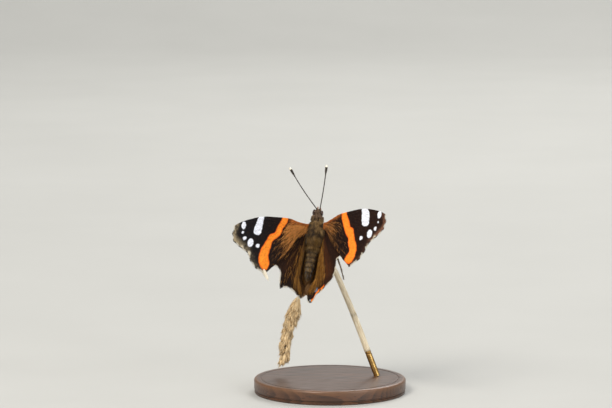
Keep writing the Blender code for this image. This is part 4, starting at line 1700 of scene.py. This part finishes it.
@dataclass
class Wings:
    """All four wings with their finishes, fringes and hairs."""

    nursery: Nursery
    grounds: dict[str, tuple[Colour, Colour, Colour]] = field(default_factory=lambda: {
        # The left forewing's far tone paint(20, 17, 20) is a painted bluish sheen, not the wing's own colour
        "forewing_left": (paint(26, 14, 10), paint(20, 17, 20), paint(176, 158, 126)),
        "forewing_right": (paint(24, 12, 9), paint(35, 17, 12), paint(150, 104, 82)),
        "hindwing_left": (paint(28, 14, 8), paint(23, 13, 9), paint(76, 54, 37)),
        "hindwing_right": (paint(36, 18, 10), paint(32, 17, 11), paint(90, 60, 38))})
    torn_way: Pairs = ((16.7, 12.0), (16.2, 12.9), (15.4, 13.9), (14.6, 15.1))
    torn_radii: tuple[float, ...] = (0.30, 0.62, 0.42, 0.06)
    torn_curl: float = 0.5

    def build(self) -> None:
        """Build every wing."""
        under = WingFinish("Marbled underside", paint(52, 38, 30), paint(84, 66, 50), paint(122, 108, 92),
                           rust=paint(120, 78, 50), gold=paint(98, 78, 54), band=paint(226, 120, 74),
                           band_edge=paint(206, 96, 62), white=paint(222, 218, 210), marbled=0.85).make()
        fringe = TuftFinish("Fringe scales", paint(40, 31, 27), paint(232, 222, 200)).make()
        rusty = TuftFinish("Rusty wing hairs", paint(38, 20, 9), paint(230, 156, 80)).make()
        golden = TuftFinish("Golden wing hairs", paint(30, 16, 7), paint(204, 142, 60)).make()
        plant = self.nursery.plant
        for side in Side:
            for wing, hairs in ((Forewing(side), rusty), (Hindwing(side), golden)):
                upper = WingFinish(wing.node + "_upper", *self.grounds[wing.node]).make()
                wing.membrane((upper, under))
                settle(plant(wing.node + "_fringe", wing.fringe_roots(), Tuft.BLADE, fringe), Slot.WING)
                settle(plant(wing.node + "_hairs", wing.hair_roots(), Tuft.HAIR, hairs), Slot.HAIR)
        self.torn_tip(Forewing(Side.LEFT))

    def torn_tip(self, wing: Forewing) -> None:
        """Hang the pale strip of torn margin from the corner of a forewing.

        Args:
            wing: The torn forewing.
        """
        way = smooth_way(self.torn_way, 8)
        t = np.linspace(0.0, 1.0, len(way))
        curled = wing.place(way) + wing.normals(way) * (self.torn_curl * t[:, None] ** 2)
        radii = np.interp(t, (0.0, 0.3, 0.8, 1.0), self.torn_radii)
        strip = swept(in_world(curled, wing.HOLDER), radii * MM, 10, 0.25)
        strip.marks["tint"] = np.full(len(strip.points), 0.9)
        finish = StrawFinish("Bleached torn margin", paint(252, 246, 230), paint(228, 214, 186),
                             paint(190, 164, 134), 0.25)
        settle(strip.write(wing.node + "_torn_tip", [finish.make()]), Slot.WING)


class CoatZone(NamedTuple):
    """One piece of the trunk's coat: where it grows, how many tufts it has and how wide they are."""

    name: str
    low: float
    high: float
    count: int
    width: float


@dataclass
class Trunk:
    """Head, thorax, abdomen and palps in one skin, with a coat of hair over it."""

    nursery: Nursery
    palp_way: Triples = ((0.26, 0.75, -0.10), (0.34, 1.45, -0.05), (0.44, 1.76, 0.55), (0.42, 1.62, 1.10),
                         (0.30, 1.25, 1.65))
    palp_radii: tuple[float, ...] = (0.26, 0.26, 0.28, 0.23, 0.09)
    thorax_top: float = 3.25
    thorax_length: float = 7.6
    thorax_half: Pair = (2.25, 2.50)
    abdomen_top: float = -4.45
    abdomen_length: float = 9.7
    abdomen_half: Pair = (1.27, 1.40)
    squash: Pair = (0.97, 0.985)
    abdomen_rings: int = 7
    balls: tuple[tuple[Triple, Triple], ...] = (
        ((-0.30, 0.45, 4.75), (1.14, 1.04, 0.90)), ((-0.12, 0.15, 3.25), (1.50, 1.50, 1.15)),
        ((0.0, 0.2, -4.3), (1.25, 1.35, 1.2)), ((-0.25, -0.30, 4.85), (0.66, 0.66, 0.80)),
        ((-0.30, 1.05, 4.55), (0.72, 0.62, 0.72)))
    coat_depth: float = 0.34
    voxel: float = 0.115
    eye_clear: Triple = (0.56, 0.95, 0.96)
    zones: tuple[CoatZone, ...] = (
        CoatZone("coat_thorax", -4.6, 3.5, 9500, 0.088), CoatZone("coat_abdomen", -16.0, -4.3, 9500, 0.072),
        CoatZone("coat_head", 3.3, 9.0, 6500, 0.058))

    def __post_init__(self) -> None:
        """Fix the coat's random draws."""
        self.random = np.random.default_rng(41)

    def forms(self) -> list[Shape]:
        """Shape the overlapping closed forms of the trunk.

        Returns:
            The forms in the trunk's own millimetres.
        """
        turns = np.linspace(0.0, pi, 25)
        share = np.maximum(np.sin(turns), 0.0) ** 0.68 * (1.0 + 0.06 * np.cos(turns))
        thorax = list(zip(share, self.thorax_length * (1.0 - np.cos(turns)) / 2))
        t = np.linspace(0.0, 1.0, 12 * self.abdomen_rings + 1)
        share = np.minimum(1.0, (t / 0.12) ** 0.5) * (1.0 - 0.62 * t ** 3)
        share = share * np.minimum(1.0, ((1.0 - t) / 0.10) ** 0.5)
        groove = 0.09 * (0.5 + 0.5 * np.cos(2 * pi * self.abdomen_rings * t)) ** 4
        abdomen = list(zip(share * (1.0 - groove), self.abdomen_length * t))
        wide, deep = (half - self.coat_depth for half in self.thorax_half)
        first, second = self.squash
        parts = [turned(thorax, lambda far: (0.0, 0.0, self.thorax_top - far * first), wide, deep),
                 turned(abdomen, lambda far: (0.0, 0.25, self.abdomen_top - far * second),
                        *self.abdomen_half)]
        turns = np.linspace(0.0, pi, 17)
        ball = list(zip(np.sin(turns), np.cos(turns)))
        parts += [turned(ball, lambda far, x=x, y=y, z=z, high=high: (x, y, z + high * far), wide, deep, 32)
                  for (x, y, z), (wide, deep, high) in self.balls]
        for side in Side:
            way = smooth_way([HEAD_MIDDLE + side.mirrored(place) for place in self.palp_way], 5)
            radii = smooth_way([(radius,) for radius in self.palp_radii], 5)[:, 0]
            tube = swept(way * MM, radii * MM, 14)
            parts.append(Shape(tube.points / MM, tube.faces))
        return parts

    def skin(self) -> Object:
        """Join the forms in one smooth skin.

        Returns:
            The skin, marked with its place in the trunk's frame.
        """
        forms, finish = joined(self.forms()), BodyFinish("Body skin", False).make()
        made = Shape(forms.points * MM, forms.faces).write("body_skin", [finish])
        loose = bmesh.new()
        loose.from_mesh(made.data)
        bmesh.ops.recalc_face_normals(loose, faces=loose.faces)
        loose.to_mesh(made.data)
        loose.free()
        union = made.modifiers.new("Union", "REMESH")
        union.mode = "VOXEL"
        union.voxel_size = self.voxel * MM
        made.modifiers.new("Soften", "SMOOTH").iterations = 3
        plain_copy(made)
        made.data.shade_smooth()
        lay_in_trunk(made.data)
        return made

    def coat(self, skin: Object) -> None:
        """Plant the coat: long on the thorax, short on the abdomen and shortest on the face.

        Args:
            skin: The finished skin.
        """
        mesh = skin.data
        mesh.calc_loop_triangles()
        spot, normals = np.empty((2, len(mesh.vertices) * 3))
        mesh.attributes["spot"].data.foreach_get("vector", spot)
        mesh.vertices.foreach_get("normal", normals)
        corners = np.empty(len(mesh.loop_triangles) * 3, int)
        mesh.loop_triangles.foreach_get("vertices", corners)
        corners = corners.reshape(-1, 3)
        ends = spot.reshape(-1, 3)[corners]
        normals = (normals.reshape(-1, 3) @ np.array(TRUNK.to_3x3()))[corners]
        area = np.linalg.norm(np.cross(ends[:, 1] - ends[:, 0], ends[:, 2] - ends[:, 0]), axis=1) / 2
        height = ends[:, :, 2].mean(1)
        finish = BodyFinish("Body hair", True).make()
        for zone in self.zones:
            weight = area * ((height > zone.low) & (height < zone.high))
            chosen = self.random.choice(len(area), zone.count, p=weight / weight.sum())
            shares = self.random.dirichlet((1.0, 1.0, 1.0), zone.count)[..., None]
            roots = self.roots((ends[chosen] * shares).sum(1), unit((normals[chosen] * shares).sum(1)), zone)
            settle(self.nursery.plant(zone.name, roots, Tuft.HAIR, finish), Slot.HAIR)

    def roots(self, rooted: Array, normal: Array, zone: CoatZone) -> Roots:
        """Comb roots on the skin, clear of the eyes.

        Args:
            rooted: Places in the trunk's frame in millimetres.
            normal: The skin's normals there.
            zone: The coat's piece, which sets its length.

        Returns:
            The combed roots.
        """
        for side in Side:
            eye = HEAD_MIDDLE + side.mirrored(EYE_SHIFT)
            clear = np.linalg.norm((rooted - eye) / self.eye_clear, axis=1) > 1.0
            rooted, normal = rooted[clear], normal[clear]
        count, (x, y, z) = len(rooted), rooted.T
        sideways = np.abs(normal[:, 0])
        flow = np.column_stack((0.18 * normal[:, 0], 0.10 * normal[:, 1], -np.ones(count)))
        lift = self.random.uniform(0.18, 0.48, count)
        if zone.name == "coat_thorax":
            shoulder = blend(sideways, 0.55, 0.9) * (1.0 - blend(z, 1.2, 2.6)) * blend(-y, -1.4, -0.4)
            flow[:, 0] += 0.75 * shoulder * np.sign(x)
            long = self.random.uniform(0.55, 1.15, count) + 0.65 * blend(-z, 0.8, 3.4) * blend(-y, -0.4, 1.2)
            long = long + shoulder * self.random.uniform(0.3, 1.3, count)
        elif zone.name == "coat_abdomen":
            long = self.random.uniform(0.32, 0.62, count) + 0.25 * blend(sideways, 0.5, 0.95)
            lift = lift * 0.75
        else:
            forward = blend(z, 4.4, 5.3)[:, None]
            ahead = np.column_stack((0.1 * normal[:, 0], -0.25 + 0.5 * normal[:, 1], np.full(count, 0.9)))
            flow = flow * (1.0 - forward) + forward * ahead
            palp = blend(y, 1.55, 1.9)
            long = self.random.uniform(0.30, 0.60, count) * (1.0 - 0.35 * palp)
            lift = lift + 0.45 * (1.0 - palp)
        flow = flow + self.random.normal(0.0, 0.16, flow.shape)
        flow = flow - normal * (flow * normal).sum(1)[:, None]
        tint = np.clip(self.random.normal(0.42, 0.24, count), 0.0, 1.0)
        around = np.arctan2(x, -y) / (2.0 * pi) + 0.5
        patch = on_map(np.column_stack((around, (z + 15.0) / 23.0)))
        return Roots(TRUNK, rooted, unit(flow) + normal * lift[:, None], normal,
                     (zone.width, 0.7 * zone.width, long), tint, patch)

    def build(self) -> None:
        """Build the skin and its coat."""
        skin = self.skin()
        self.coat(skin)
        settle(skin, Slot.HAIR, "head", "thorax", "abdomen", "palp_left", "palp_right")


@dataclass
class Eyes:
    """Compound eyes of small raised facets, made by Geometry Nodes."""

    radii: Triple = (0.50, 0.85, 0.86)
    divisions: int = 5
    facet: float = 0.018
    dome: float = 0.72

    def faceting(self) -> Tree:
        """Build the tree that raises a facet on each cell of a ball.

        Returns:
            The tree, with inputs for the ball's radii, its divisions, the facet's height and its top.
        """
        tree = Tree("Geometry", "Raise facets", {
            "Radii": "Vector", "Divisions": "Int", "Facet": self.facet, "Dome": self.dome,
            "Finish": "Material"}, {"Mesh": "Geometry"})
        net, given = tree.net, tree.given
        ball = net.fed(net.add("GeometryNodeMeshIcoSphere"), radius=1.0, subdivisions=given["Divisions"])
        cells = net.fed(net.add("GeometryNodeDualMesh"), mesh=ball.outputs[0])
        raised = net.fed(net.add("GeometryNodeExtrudeMesh", mode="FACES"), mesh=cells.outputs[0],
                         offset_scale=given["Facet"])
        domed = net.fed(net.add("GeometryNodeScaleElements", domain="FACE"), scale=given["Dome"],
                        geometry=raised.outputs["Mesh"], selection=raised.outputs["Top"])
        here = net.add("GeometryNodeInputPosition").outputs[0]
        placed = net.fed(net.add("GeometryNodeSetPosition"), geometry=domed.outputs[0],
                         position=net.vector("MULTIPLY", here, given["Radii"]))
        tree.close(placed.outputs[0])
        return tree

    def build(self) -> None:
        """Build both eyes."""
        tree = self.faceting()
        finish = EyeFinish("Brown eye facets", paint(34, 20, 14), paint(84, 52, 36), "spot", (1.6, 1.3),
                           (0.18, 0.34)).make()
        for side in Side:
            made = Shape(np.zeros((1, 3)), []).write("eye_facets_" + side.word, [finish])
            tree.use(made, radii=[radius * MM for radius in self.radii], divisions=self.divisions,
                     facet=self.facet, dome=self.dome, finish=finish)
            lay_in_trunk(made.data, HEAD_MIDDLE + side.mirrored(EYE_SHIFT))
            made.data.shade_flat()
            settle(made, Slot.EYE, "eye_" + side.word)


@dataclass
class Antennae:
    """Thin ringed antennae with a dark club and a cream tip."""

    reach: tuple[tuple[Side, Triple, float], ...] = ((Side.LEFT, (-9.1, -2.6, 9.9), 0.35),
                                                     (Side.RIGHT, (0.0, -4.4, 12.3), 0.15))
    root: Triple = (0.42, -0.98, 1.08)
    radius: float = 0.14
    club: float = 0.34
    joint: float = 0.36
    joint_notch: float = 0.16
    root_swell: float = 0.08
    cream: Pair = (0.62, 0.40)

    def build(self) -> None:
        """Build both antennae."""
        finish = AntennaFinish("Black ringed antenna", paint(20, 15, 13), paint(44, 33, 26), "fibre",
                               (1.1, 1.2), (0.42, 0.62), 5.0, 0.02, self.joint).make()
        t = np.linspace(-0.03, 1.0, 330)
        for side, reach, bow in self.reach:
            way = HEAD_MIDDLE + side.mirrored(self.root) + np.outer(t, reach)
            way[:, 0] += side.value * bow * np.sin(np.pi * np.clip(t, 0.0, 1.0))
            swell = blend(t, 0.76, 0.90) * (1.0 - 0.9 * blend(t, 0.93, 1.01) ** 2)
            rooted = self.root_swell * (1.0 - blend(t, 0.0, 0.03))
            radii = self.radius + (self.club - self.radius) * swell + rooted
            notch = np.abs((t * np.linalg.norm(reach) / self.joint + 0.01) % 1.0 - 0.5)
            radii = radii * (1.0 - self.joint_notch * blend(notch, 0.36, 0.5))
            shape = swept(in_world(way, TRUNK), radii * MM, 14)
            left = shape.marks["along"].max() - shape.marks["along"]
            shape.marks["tip"] = 1.0 - blend(left, *self.cream[::-1])
            settle(shape.write("feeler_" + side.word, [finish]), Slot.ANTENNA, "antenna_" + side.word)


@dataclass
class Legs:
    """Four walking legs on the grass, two brush-like forelegs, and their spines and hairs."""

    nursery: Nursery
    walking: tuple[tuple[str, Triple, Triples], ...] = (
        ("leg_mid_left", (-0.9, 2.75, 0.0), ((-7.6, 0.8, 42.0), (-6.6, 2.1, 38.9), (-5.05, 2.5, 36.45))),
        ("leg_mid_right", (0.9, 2.75, 0.0), ((1.7, 0.6, 42.0), (0.9, 2.0, 38.6), (0.10, 2.5, 36.50))),
        ("leg_hind_left", (-0.8, 2.65, -2.0), ((-8.4, 0.9, 38.6), (-9.1, 2.0, 34.6), (-8.90, 2.5, 31.0))),
        ("leg_hind_right", (0.8, 2.65, -2.0), ((1.7, 0.7, 38.4), (3.1, 1.7, 34.3), (3.80, 2.5, 31.2))))
    joint_radii: Triples = ((0.30, 0.26, 0.20), (0.23, 0.22, 0.17), (0.16, 0.14, 0.12))
    fore_way: Triples = ((0.55, 2.1, 1.0), (0.62, 2.62, 1.3), (0.75, 3.25, 2.0), (0.72, 3.3, 2.8),
                         (0.62, 3.2, 3.55))
    fore_radii: Pair = (0.22, 0.13)
    claw_radii: Pair = (0.06, 0.012)
    bristle: float = 0.05
    spines: tuple[int, float, float] = (300, 0.42, 0.75)
    brush: tuple[int, float, float] = (900, 0.5, 0.55)

    def __post_init__(self) -> None:
        """Fix the bristles' random draws."""
        self.random = np.random.default_rng(77)

    def walking_way(self, root: Triple, joints: Sequence[Triple]) -> tuple[Array, Array]:
        """Follow one leg from the body to its claws.

        Args:
            root: Its root in the trunk's frame.
            joints: Knee, ankle and foot in the world, in millimetres.

        Returns:
            The way in world metres and the radius at each of its points.
        """
        start = in_world(np.array([root]), TRUNK)[0] / MM
        keys = np.array([start + (0.0, -0.5, 0.2), *joints])
        t = np.linspace(0.0, 1.0, 15)[:-1]
        sag = np.outer(np.sin(np.pi * t), (0.0, -0.12, 0.05))
        pieces, radii = [], []
        for start, end, shares in zip(keys, keys[1:], self.joint_radii):
            pieces.append(start + np.outer(t, end - start) + sag)
            wide = np.interp(t, (0.0, 0.35, 1.0), shares)
            radii.append(wide + 0.05 * (1.0 - blend(np.minimum(t, 1.0 - t), 0.0, 0.10)))
        radii[-1] = radii[-1] * (1.0 - 0.16 * (np.abs((t * 5.0) % 1.0 - 0.5) > 0.38))
        return np.vstack((*pieces, keys[-1:])) * MM, np.concatenate((*radii, [0.10])) * MM

    def claws(self, way: Array) -> list[Shape]:
        """Curl two small claws from the end of a leg.

        Args:
            way: The leg's way.

        Returns:
            The claws.
        """
        ahead = unit(way[-1] - way[-4])
        across = unit(np.cross(ahead, (0.0, 1.0, 0.0)))
        t = np.linspace(0.0, 1.0, 7)[:, None]
        radii = np.interp(t[:, 0], (0.0, 1.0), self.claw_radii) * MM
        hook = ahead * (0.38 * t - 0.10 * t ** 2) + np.array((0.0, 0.22, 0.0)) * t ** 2
        return [swept(way[-1] + (hook + across * sign * (0.06 + 0.10 * t)) * MM, radii, 6)
                for sign in (-1.0, 1.0)]

    def bristle_roots(self, ways: Sequence[tuple[Array, Array]], count: int, long: float,
                      lift: float) -> Roots:
        """Scatter roots all over some swept ways.

        Args:
            ways: Ways in metres with a radius at each point.
            count: Roots for each way.
            long: Mean length in millimetres.
            lift: How far the bristles stand off.

        Returns:
            The roots.
        """
        places, lies, stands = [], [], []
        for way, radii in ways:
            at = self.random.uniform(1.0, len(way) - 1.001, count)
            low, share = at.astype(int), (at % 1.0)[:, None]
            middle = way[low] * (1.0 - share) + way[low + 1] * share
            aim = unit(np.gradient(way, axis=0))[low]
            side = unit(np.cross(aim, self.random.normal(size=aim.shape)))
            places.append(middle + side * radii[low][:, None] * 0.85)
            lies.append(unit(aim + side * lift + self.random.normal(0.0, 0.10, aim.shape)))
            stands.append(side)
        total = count * len(ways)
        tint = np.clip(self.random.normal(0.4, 0.3, total), 0.0, 1.0)
        patch = on_map(np.column_stack((np.arange(total) % 97 / 97.0, np.arange(total) / total)))
        return Roots(WORLD, np.vstack(places) / MM, np.vstack(lies), np.vstack(stands),
                     (self.bristle, self.bristle, self.random.uniform(0.6, 1.3, total) * long), tint, patch)

    def build(self) -> None:
        """Build all six legs with their bristles."""
        finish = LegFinish("Dark scaled leg", paint(26, 20, 17), paint(52, 40, 30), "fibre", (1.3, 1.5),
                           (0.45, 0.7), 4.0, 0.03).make()
        bristle = TuftFinish("Leg bristles", paint(38, 30, 24), paint(134, 112, 84)).make()
        ways, brushes = [], []
        for name, root, joints in self.walking:
            way, radii = self.walking_way(root, joints)
            shape = joined([swept(way, radii), *self.claws(way)])
            length = run(way)[-1] / MM
            shape.marks["pale"] = 0.85 * blend(shape.marks["along"], 0.45 * length, 0.75 * length)
            settle(shape.write(name + "_horn", [finish]), Slot.LEG, name)
            ways.append((way, radii))
        for side in Side:
            way = in_world(smooth_way([side.mirrored(place) for place in self.fore_way], 8), TRUNK)
            radii = np.linspace(*self.fore_radii, len(way)) * MM
            shape = swept(way, radii)
            shape.marks["pale"] = np.full(len(shape.points), 0.6)
            settle(shape.write("foreleg_" + side.word, [finish]), Slot.LEG, "leg_fore_" + side.word)
            brushes.append((way, radii))
        spines, hairs = self.bristle_roots(ways, *self.spines), self.bristle_roots(brushes, *self.brush)
        settle(self.nursery.plant("leg_spines", spines, Tuft.SPINE, bristle), Slot.LEG)
        settle(self.nursery.plant("foreleg_brushes", hairs, Tuft.HAIR, bristle), Slot.HAIR)


@dataclass
class Grass:
    """The dry stem, its bend and the nodding seed head with husked spikelets."""

    nursery: Nursery
    rise: Pairs = ((10.45, 11.1), (6.85, 20.6), (2.55, 31.0), (0.9, 34.2), (-0.9, 35.75), (-2.5, 36.0))
    drop: Pairs = ((-2.85, 36.0), (-4.4, 35.7), (-6.4, 33.8), (-7.6, 30.4), (-8.5, 26.6))
    axis: Pairs = ((-8.6, 26.2), (-10.1, 22.6), (-11.5, 16.6), (-12.3, 9.6))
    stem_radii: Pairs = ((0.88, 0.60), (0.58, 0.41), (0.36, 0.16))
    joint_at: float = 10.6
    spikelets: int = 22
    spikelet_length: float = 5.6
    spikelet_width: float = 2.1
    lean: float = 23.0
    turn: float = 137.5
    husks: int = 11
    husk_width: Pair = (1.10, 1.55)
    husk_depth: Pair = (0.55, 0.80)
    husk_rise: float = 0.06
    husk_spread: Pair = (0.26, 0.018)
    awn_count: int = 4600

    def __post_init__(self) -> None:
        """Fix the husks' random draws."""
        self.random = np.random.default_rng(5)

    @staticmethod
    def in_depth(flat: Array) -> Array:
        """Set flat points at the grass's own depth, in metres."""
        return np.column_stack((flat[:, 0], np.full(len(flat), STEM_DEPTH), flat[:, 1])) * MM

    def stalk(self, finish: Material) -> None:
        """Build the stem, its bend and the seed head's stalk as one piece.

        Args:
            finish: The straw.
        """
        parts = (smooth_way(self.rise, 14), smooth_way(self.drop, 12), smooth_way(self.axis, 12)[:-1])
        way = self.in_depth(np.vstack(parts))
        radii = np.concatenate([np.linspace(*ends, len(part)) for ends, part in zip(self.stem_radii, parts)])
        past = run(way) / MM - self.joint_at
        node = np.exp(-(past / 0.55) ** 2) - 0.55 * np.exp(-((past - 1.1) / 0.5) ** 2)
        radii = radii * (1.0 + 0.05 * node + 0.012 * np.sin(past * 3.0))
        shape = swept(way, radii * MM, 28)
        past = shape.marks["along"] - self.joint_at
        shape.marks["tint"] = 0.75 - 0.55 * np.exp(-((past - 0.3) / 0.5) ** 2)
        settle(shape.write("grass_stem", [finish]), Slot.GRASS, "perch_stem", "perch_neck")

    def husk_roots(self) -> Roots:
        """Set the husks of every spikelet, each pair lower and tighter than the last.

        Returns:
            The husks' roots.
        """
        way = self.in_depth(smooth_way(self.axis, 6)) / MM
        ahead = unit(way[-1] - way[0])
        first = Vector(ahead).orthogonal().normalized()
        rows = []
        for index in range(self.spikelets):
            t = (index + 0.6) / (self.spikelets + 1.2)
            place = way[round(t * (len(way) - 1))]
            side = np.array(Matrix.Rotation(index * radians(self.turn), 3, Vector(ahead)) @ first)
            along, outward = flat_ray(self.lean * (1.0 - 0.45 * t))
            aim = ahead * along + side * outward
            flat = unit(np.cross(aim, side))
            up = unit(np.cross(flat, aim))
            full = self.spikelet_length * (1.0 - 0.2 * t)
            for number in range(self.husks):
                hand = flat * (-1.0 if number % 2 else 1.0)
                rise = self.husk_rise * number * full
                spread = self.husk_spread[0] - self.husk_spread[1] * number
                lie = unit(aim + hand * spread + self.random.normal(0.0, 0.06, 3))
                root = place + aim * rise + hand * (0.14 * self.spikelet_width)
                root = root + up * self.random.normal(0.0, 0.16)
                stand = unit(hand + up * self.random.normal(0.35, 0.4))
                long = (full - rise) * self.random.uniform(0.62, 0.86)
                # Husks that point to the right, away from the key light, are made 0.25 darker: painted shade
                tint = np.clip(self.random.normal(0.62, 0.2) - 0.25 * (side[0] > 0.3), 0.0, 1.0)
                rows.append((*root, *lie, *stand, self.random.uniform(*self.husk_width),
                             self.random.uniform(*self.husk_depth), long, tint))
        table = np.array(rows)
        return Roots(WORLD, table[:, :3], table[:, 3:6], table[:, 6:9], tuple(table[:, 9:12].T), table[:, 12],
                     np.zeros((len(rows), 2)))

    def awn_roots(self, husks: Roots) -> Roots:
        """Set fine awns and hairs between the husks.

        Args:
            husks: The husks' roots.

        Returns:
            The awns' roots.
        """
        count = self.awn_count
        chosen = self.random.integers(0, len(husks.places), count)
        share = self.random.uniform(0.08, 0.72, count) * husks.size[2][chosen]
        lie = unit(husks.lie[chosen] + self.random.normal(0.0, 0.28, (count, 3)))
        places = husks.places[chosen] + husks.lie[chosen] * share[:, None]
        size = (0.06, 0.05, self.random.uniform(0.7, 1.7, count))
        return Roots(WORLD, places, lie, husks.stand[chosen], size, self.random.uniform(0.3, 1.0, count),
                     husks.patch[chosen])

    def build(self) -> None:
        """Build the stem and the seed head, whose husks and awns need no bake map of their own."""
        self.stalk(StrawFinish("Dry straw", paint(236, 225, 198), paint(196, 176, 142),
                               paint(168, 142, 108), 0.3).make())
        chaff = StrawFinish("Dry husk", paint(236, 212, 168), paint(190, 154, 104), paint(140, 104, 66), 0.4)
        awn = TuftFinish("Dry awns", paint(184, 152, 106), paint(244, 226, 190))
        husks, plant = self.husk_roots(), self.nursery.plant
        head = plant("seed_husks", husks, Tuft.HUSK, chaff.make(), 0.12)
        fine = plant("seed_awns", self.awn_roots(husks), Tuft.HAIR, awn.make())
        for piece in (head, fine):
            piece.data.uv_layers.remove(piece.data.uv_layers[BAKE_MAP])
        settle(head, Slot.GRASS, "perch_seed_head")
        settle(fine, Slot.GRASS)


@dataclass
class Stand:
    """The turned wooden base and the slanting brass rod."""

    grass: Grass
    radius: float = 21.0
    edge: float = 0.6
    foot: Pairs = ((0.5, 0.0), (0.2, 0.12), (0.12, 0.55), (0.42, 0.80), (0.42, 1.0), (0.05, 1.2))
    groove: Pairs = ((1.7, 0.0), (1.8, 0.10), (2.0, 0.10), (2.1, 0.0))
    rod_radius: float = 0.85
    rod_groove: float = 0.10
    rod_taper: float = 0.14

    def build(self) -> None:
        """Build the base and the rod."""
        turns = np.radians(np.linspace(0.0, 90.0, 7))
        corner = [(self.radius - self.edge * (1.0 - cos(turn)), BASE_TOP - self.edge * (1.0 - sin(turn)))
                  for turn in turns]
        foot = [(self.radius - inset, height) for inset, height in self.foot]
        groove = [(self.radius - inset, BASE_TOP - depth) for inset, depth in self.groove]
        profile = [(0.0, 0.0), *foot, *corner, *groove, (0.0, BASE_TOP)]
        shape = turned(profile, lambda far: (0.0, 0.0, far), 1.0, 1.0, 128)
        x, y, z = shape.points.T
        shape.marks["edge"] = 1.0 - blend(np.hypot(np.hypot(x, y) - self.radius, z - BASE_TOP), 0.3, 1.3)
        shape.points = shape.points * MM
        made = shape.write("stand_turned_base", [WoodFinish().make()], 28.0)
        settle(made, Slot.WOOD, "stand_base")
        self.rod()

    def rod(self) -> None:
        """Build the rod in line with the stem's cut end, seated in the base, with a groove and a tapered tip.
        """
        cut, above = Grass.in_depth(np.array(self.grass.rise[:2])) / MM
        along = unit(cut - above)
        foot = cut + along * ((cut[2] - BASE_TOP - 0.1) / -along[2])
        t = np.linspace(0.0, 1.0, 40)
        way = foot + np.outer(t, cut - along * 0.02 - foot)
        radii = self.rod_radius - self.rod_groove * (np.abs(t - 0.90) < 0.02)
        radii = radii - self.rod_taper * (t > 0.985)
        made = swept(way * MM, radii * MM, 32).write("stand_brass_rod", [BrassFinish().make()], 40.0)
        settle(made, Slot.METAL, "stand_rod")


@dataclass
class Studio:
    """Pale floor, soft lights and the camera at the photograph's angle."""

    aim: Triple = (-0.00661, 0.0, 0.05256)
    distance: float = 1.2
    elevation: float = 8.0
    frame_width: float = 0.1685
    wall: float = 0.9
    bend: float = 0.5
    front: float = 2.5
    half_width: float = 3.0
    height: float = 3.0
    room: Colour = (0.86, 0.88, 0.90)
    room_light: float = 0.55
    lights: tuple[tuple[str, Triple, float, float, Colour], ...] = (
        ("Key light", (-0.55, -0.95, 0.95), 0.55, 17.0, (1.0, 0.965, 0.91)),
        ("Fill light", (0.9, -0.8, 0.45), 0.8, 8.0, (0.93, 0.96, 1.0)),
        ("Back light", (0.25, 0.75, 0.8), 0.6, 7.0, (1.0, 1.0, 1.0)))

    def build(self) -> None:
        """Build the floor, the lights, the world and the camera."""
        self.floor()
        for light in self.lights:
            self.light(*light)
        world = bpy.data.worlds.new("Soft room")
        world.use_nodes = True
        background = world.node_tree.nodes["Background"]
        Net(world.node_tree).fed(background, color=self.room, strength=self.room_light)
        bpy.context.scene.world = world
        bpy.context.scene.view_settings.view_transform = "Standard"
        self.camera()

    def floor(self) -> None:
        """Sweep a wide pale sheet from the floor up behind the object."""
        turns = np.linspace(0.0, pi / 2, 17)
        bend = zip(self.wall + self.bend * np.sin(turns), self.bend * (1.0 - np.cos(turns)))
        profile = [(-self.front, 0.0), *bend, (self.wall + self.bend, self.height)]
        points = np.array([(x, y, z) for y, z in profile for x in (-self.half_width, self.half_width)])
        faces = [(low, low + 1, low + 3, low + 2) for low in range(0, 2 * len(profile) - 2, 2)]
        finish = FloorFinish("Pale studio floor", paint(184, 183, 178), paint(190, 189, 184), "", (6.0, 0.6),
                             (0.82, 0.88))
        Shape(points, faces).write("studio_floor", [finish.make()])

    @staticmethod
    def hang(name: str, data: bpy.types.ID, place: Sequence[float], turn: Euler) -> Object:
        """Link a light or a camera at its place.

        Args:
            name: The object's name.
            data: The light or the camera.
            place: Where it hangs, in metres.
            turn: How it is turned.

        Returns:
            The new object.
        """
        made = bpy.data.objects.new(name, data)
        made.location, made.rotation_euler = place, turn
        bpy.context.scene.collection.objects.link(made)
        return made

    def light(self, name: str, place: Triple, size: float, power: float, colour: Colour) -> None:
        """Hang a square soft light that faces the object.

        Args:
            name: The light's name.
            place: Where it hangs, in metres.
            size: Its side.
            power: Its power in watts.
            colour: Its colour.
        """
        data = bpy.data.lights.new(name, "AREA")
        data.size, data.energy, data.color = size, power, colour
        self.hang(name, data, place, (Vector(self.aim) - Vector(place)).to_track_quat("-Z", "Y").to_euler())

    def camera(self) -> None:
        """Set the camera 8 degrees above the horizon behind a long lens."""
        data = bpy.data.cameras.new("Camera")
        data.sensor_width = 36.0
        data.lens = data.sensor_width * self.distance / self.frame_width
        data.clip_start = 0.05
        tilt = radians(self.elevation)
        place = Vector(self.aim) + self.distance * Vector((0.0, -cos(tilt), sin(tilt)))
        bpy.context.scene.camera = self.hang("Camera", data, place, Euler((pi / 2 - tilt, 0.0, 0.0)))


def main() -> None:
    logging.basicConfig(level=logging.INFO, format="%(message)s")
    for make in (make_ragged_edge, make_wing_scales, make_mottle, make_body_markings, make_fibres):
        make()
    nursery = Nursery()
    grass = Grass(nursery)
    for part in (Studio(), Wings(nursery), Trunk(nursery), Eyes(), Antennae(), Legs(nursery), grass,
                 Stand(grass)):
        part.build()
    nursery.clear()


if __name__ == "__main__":
    main()
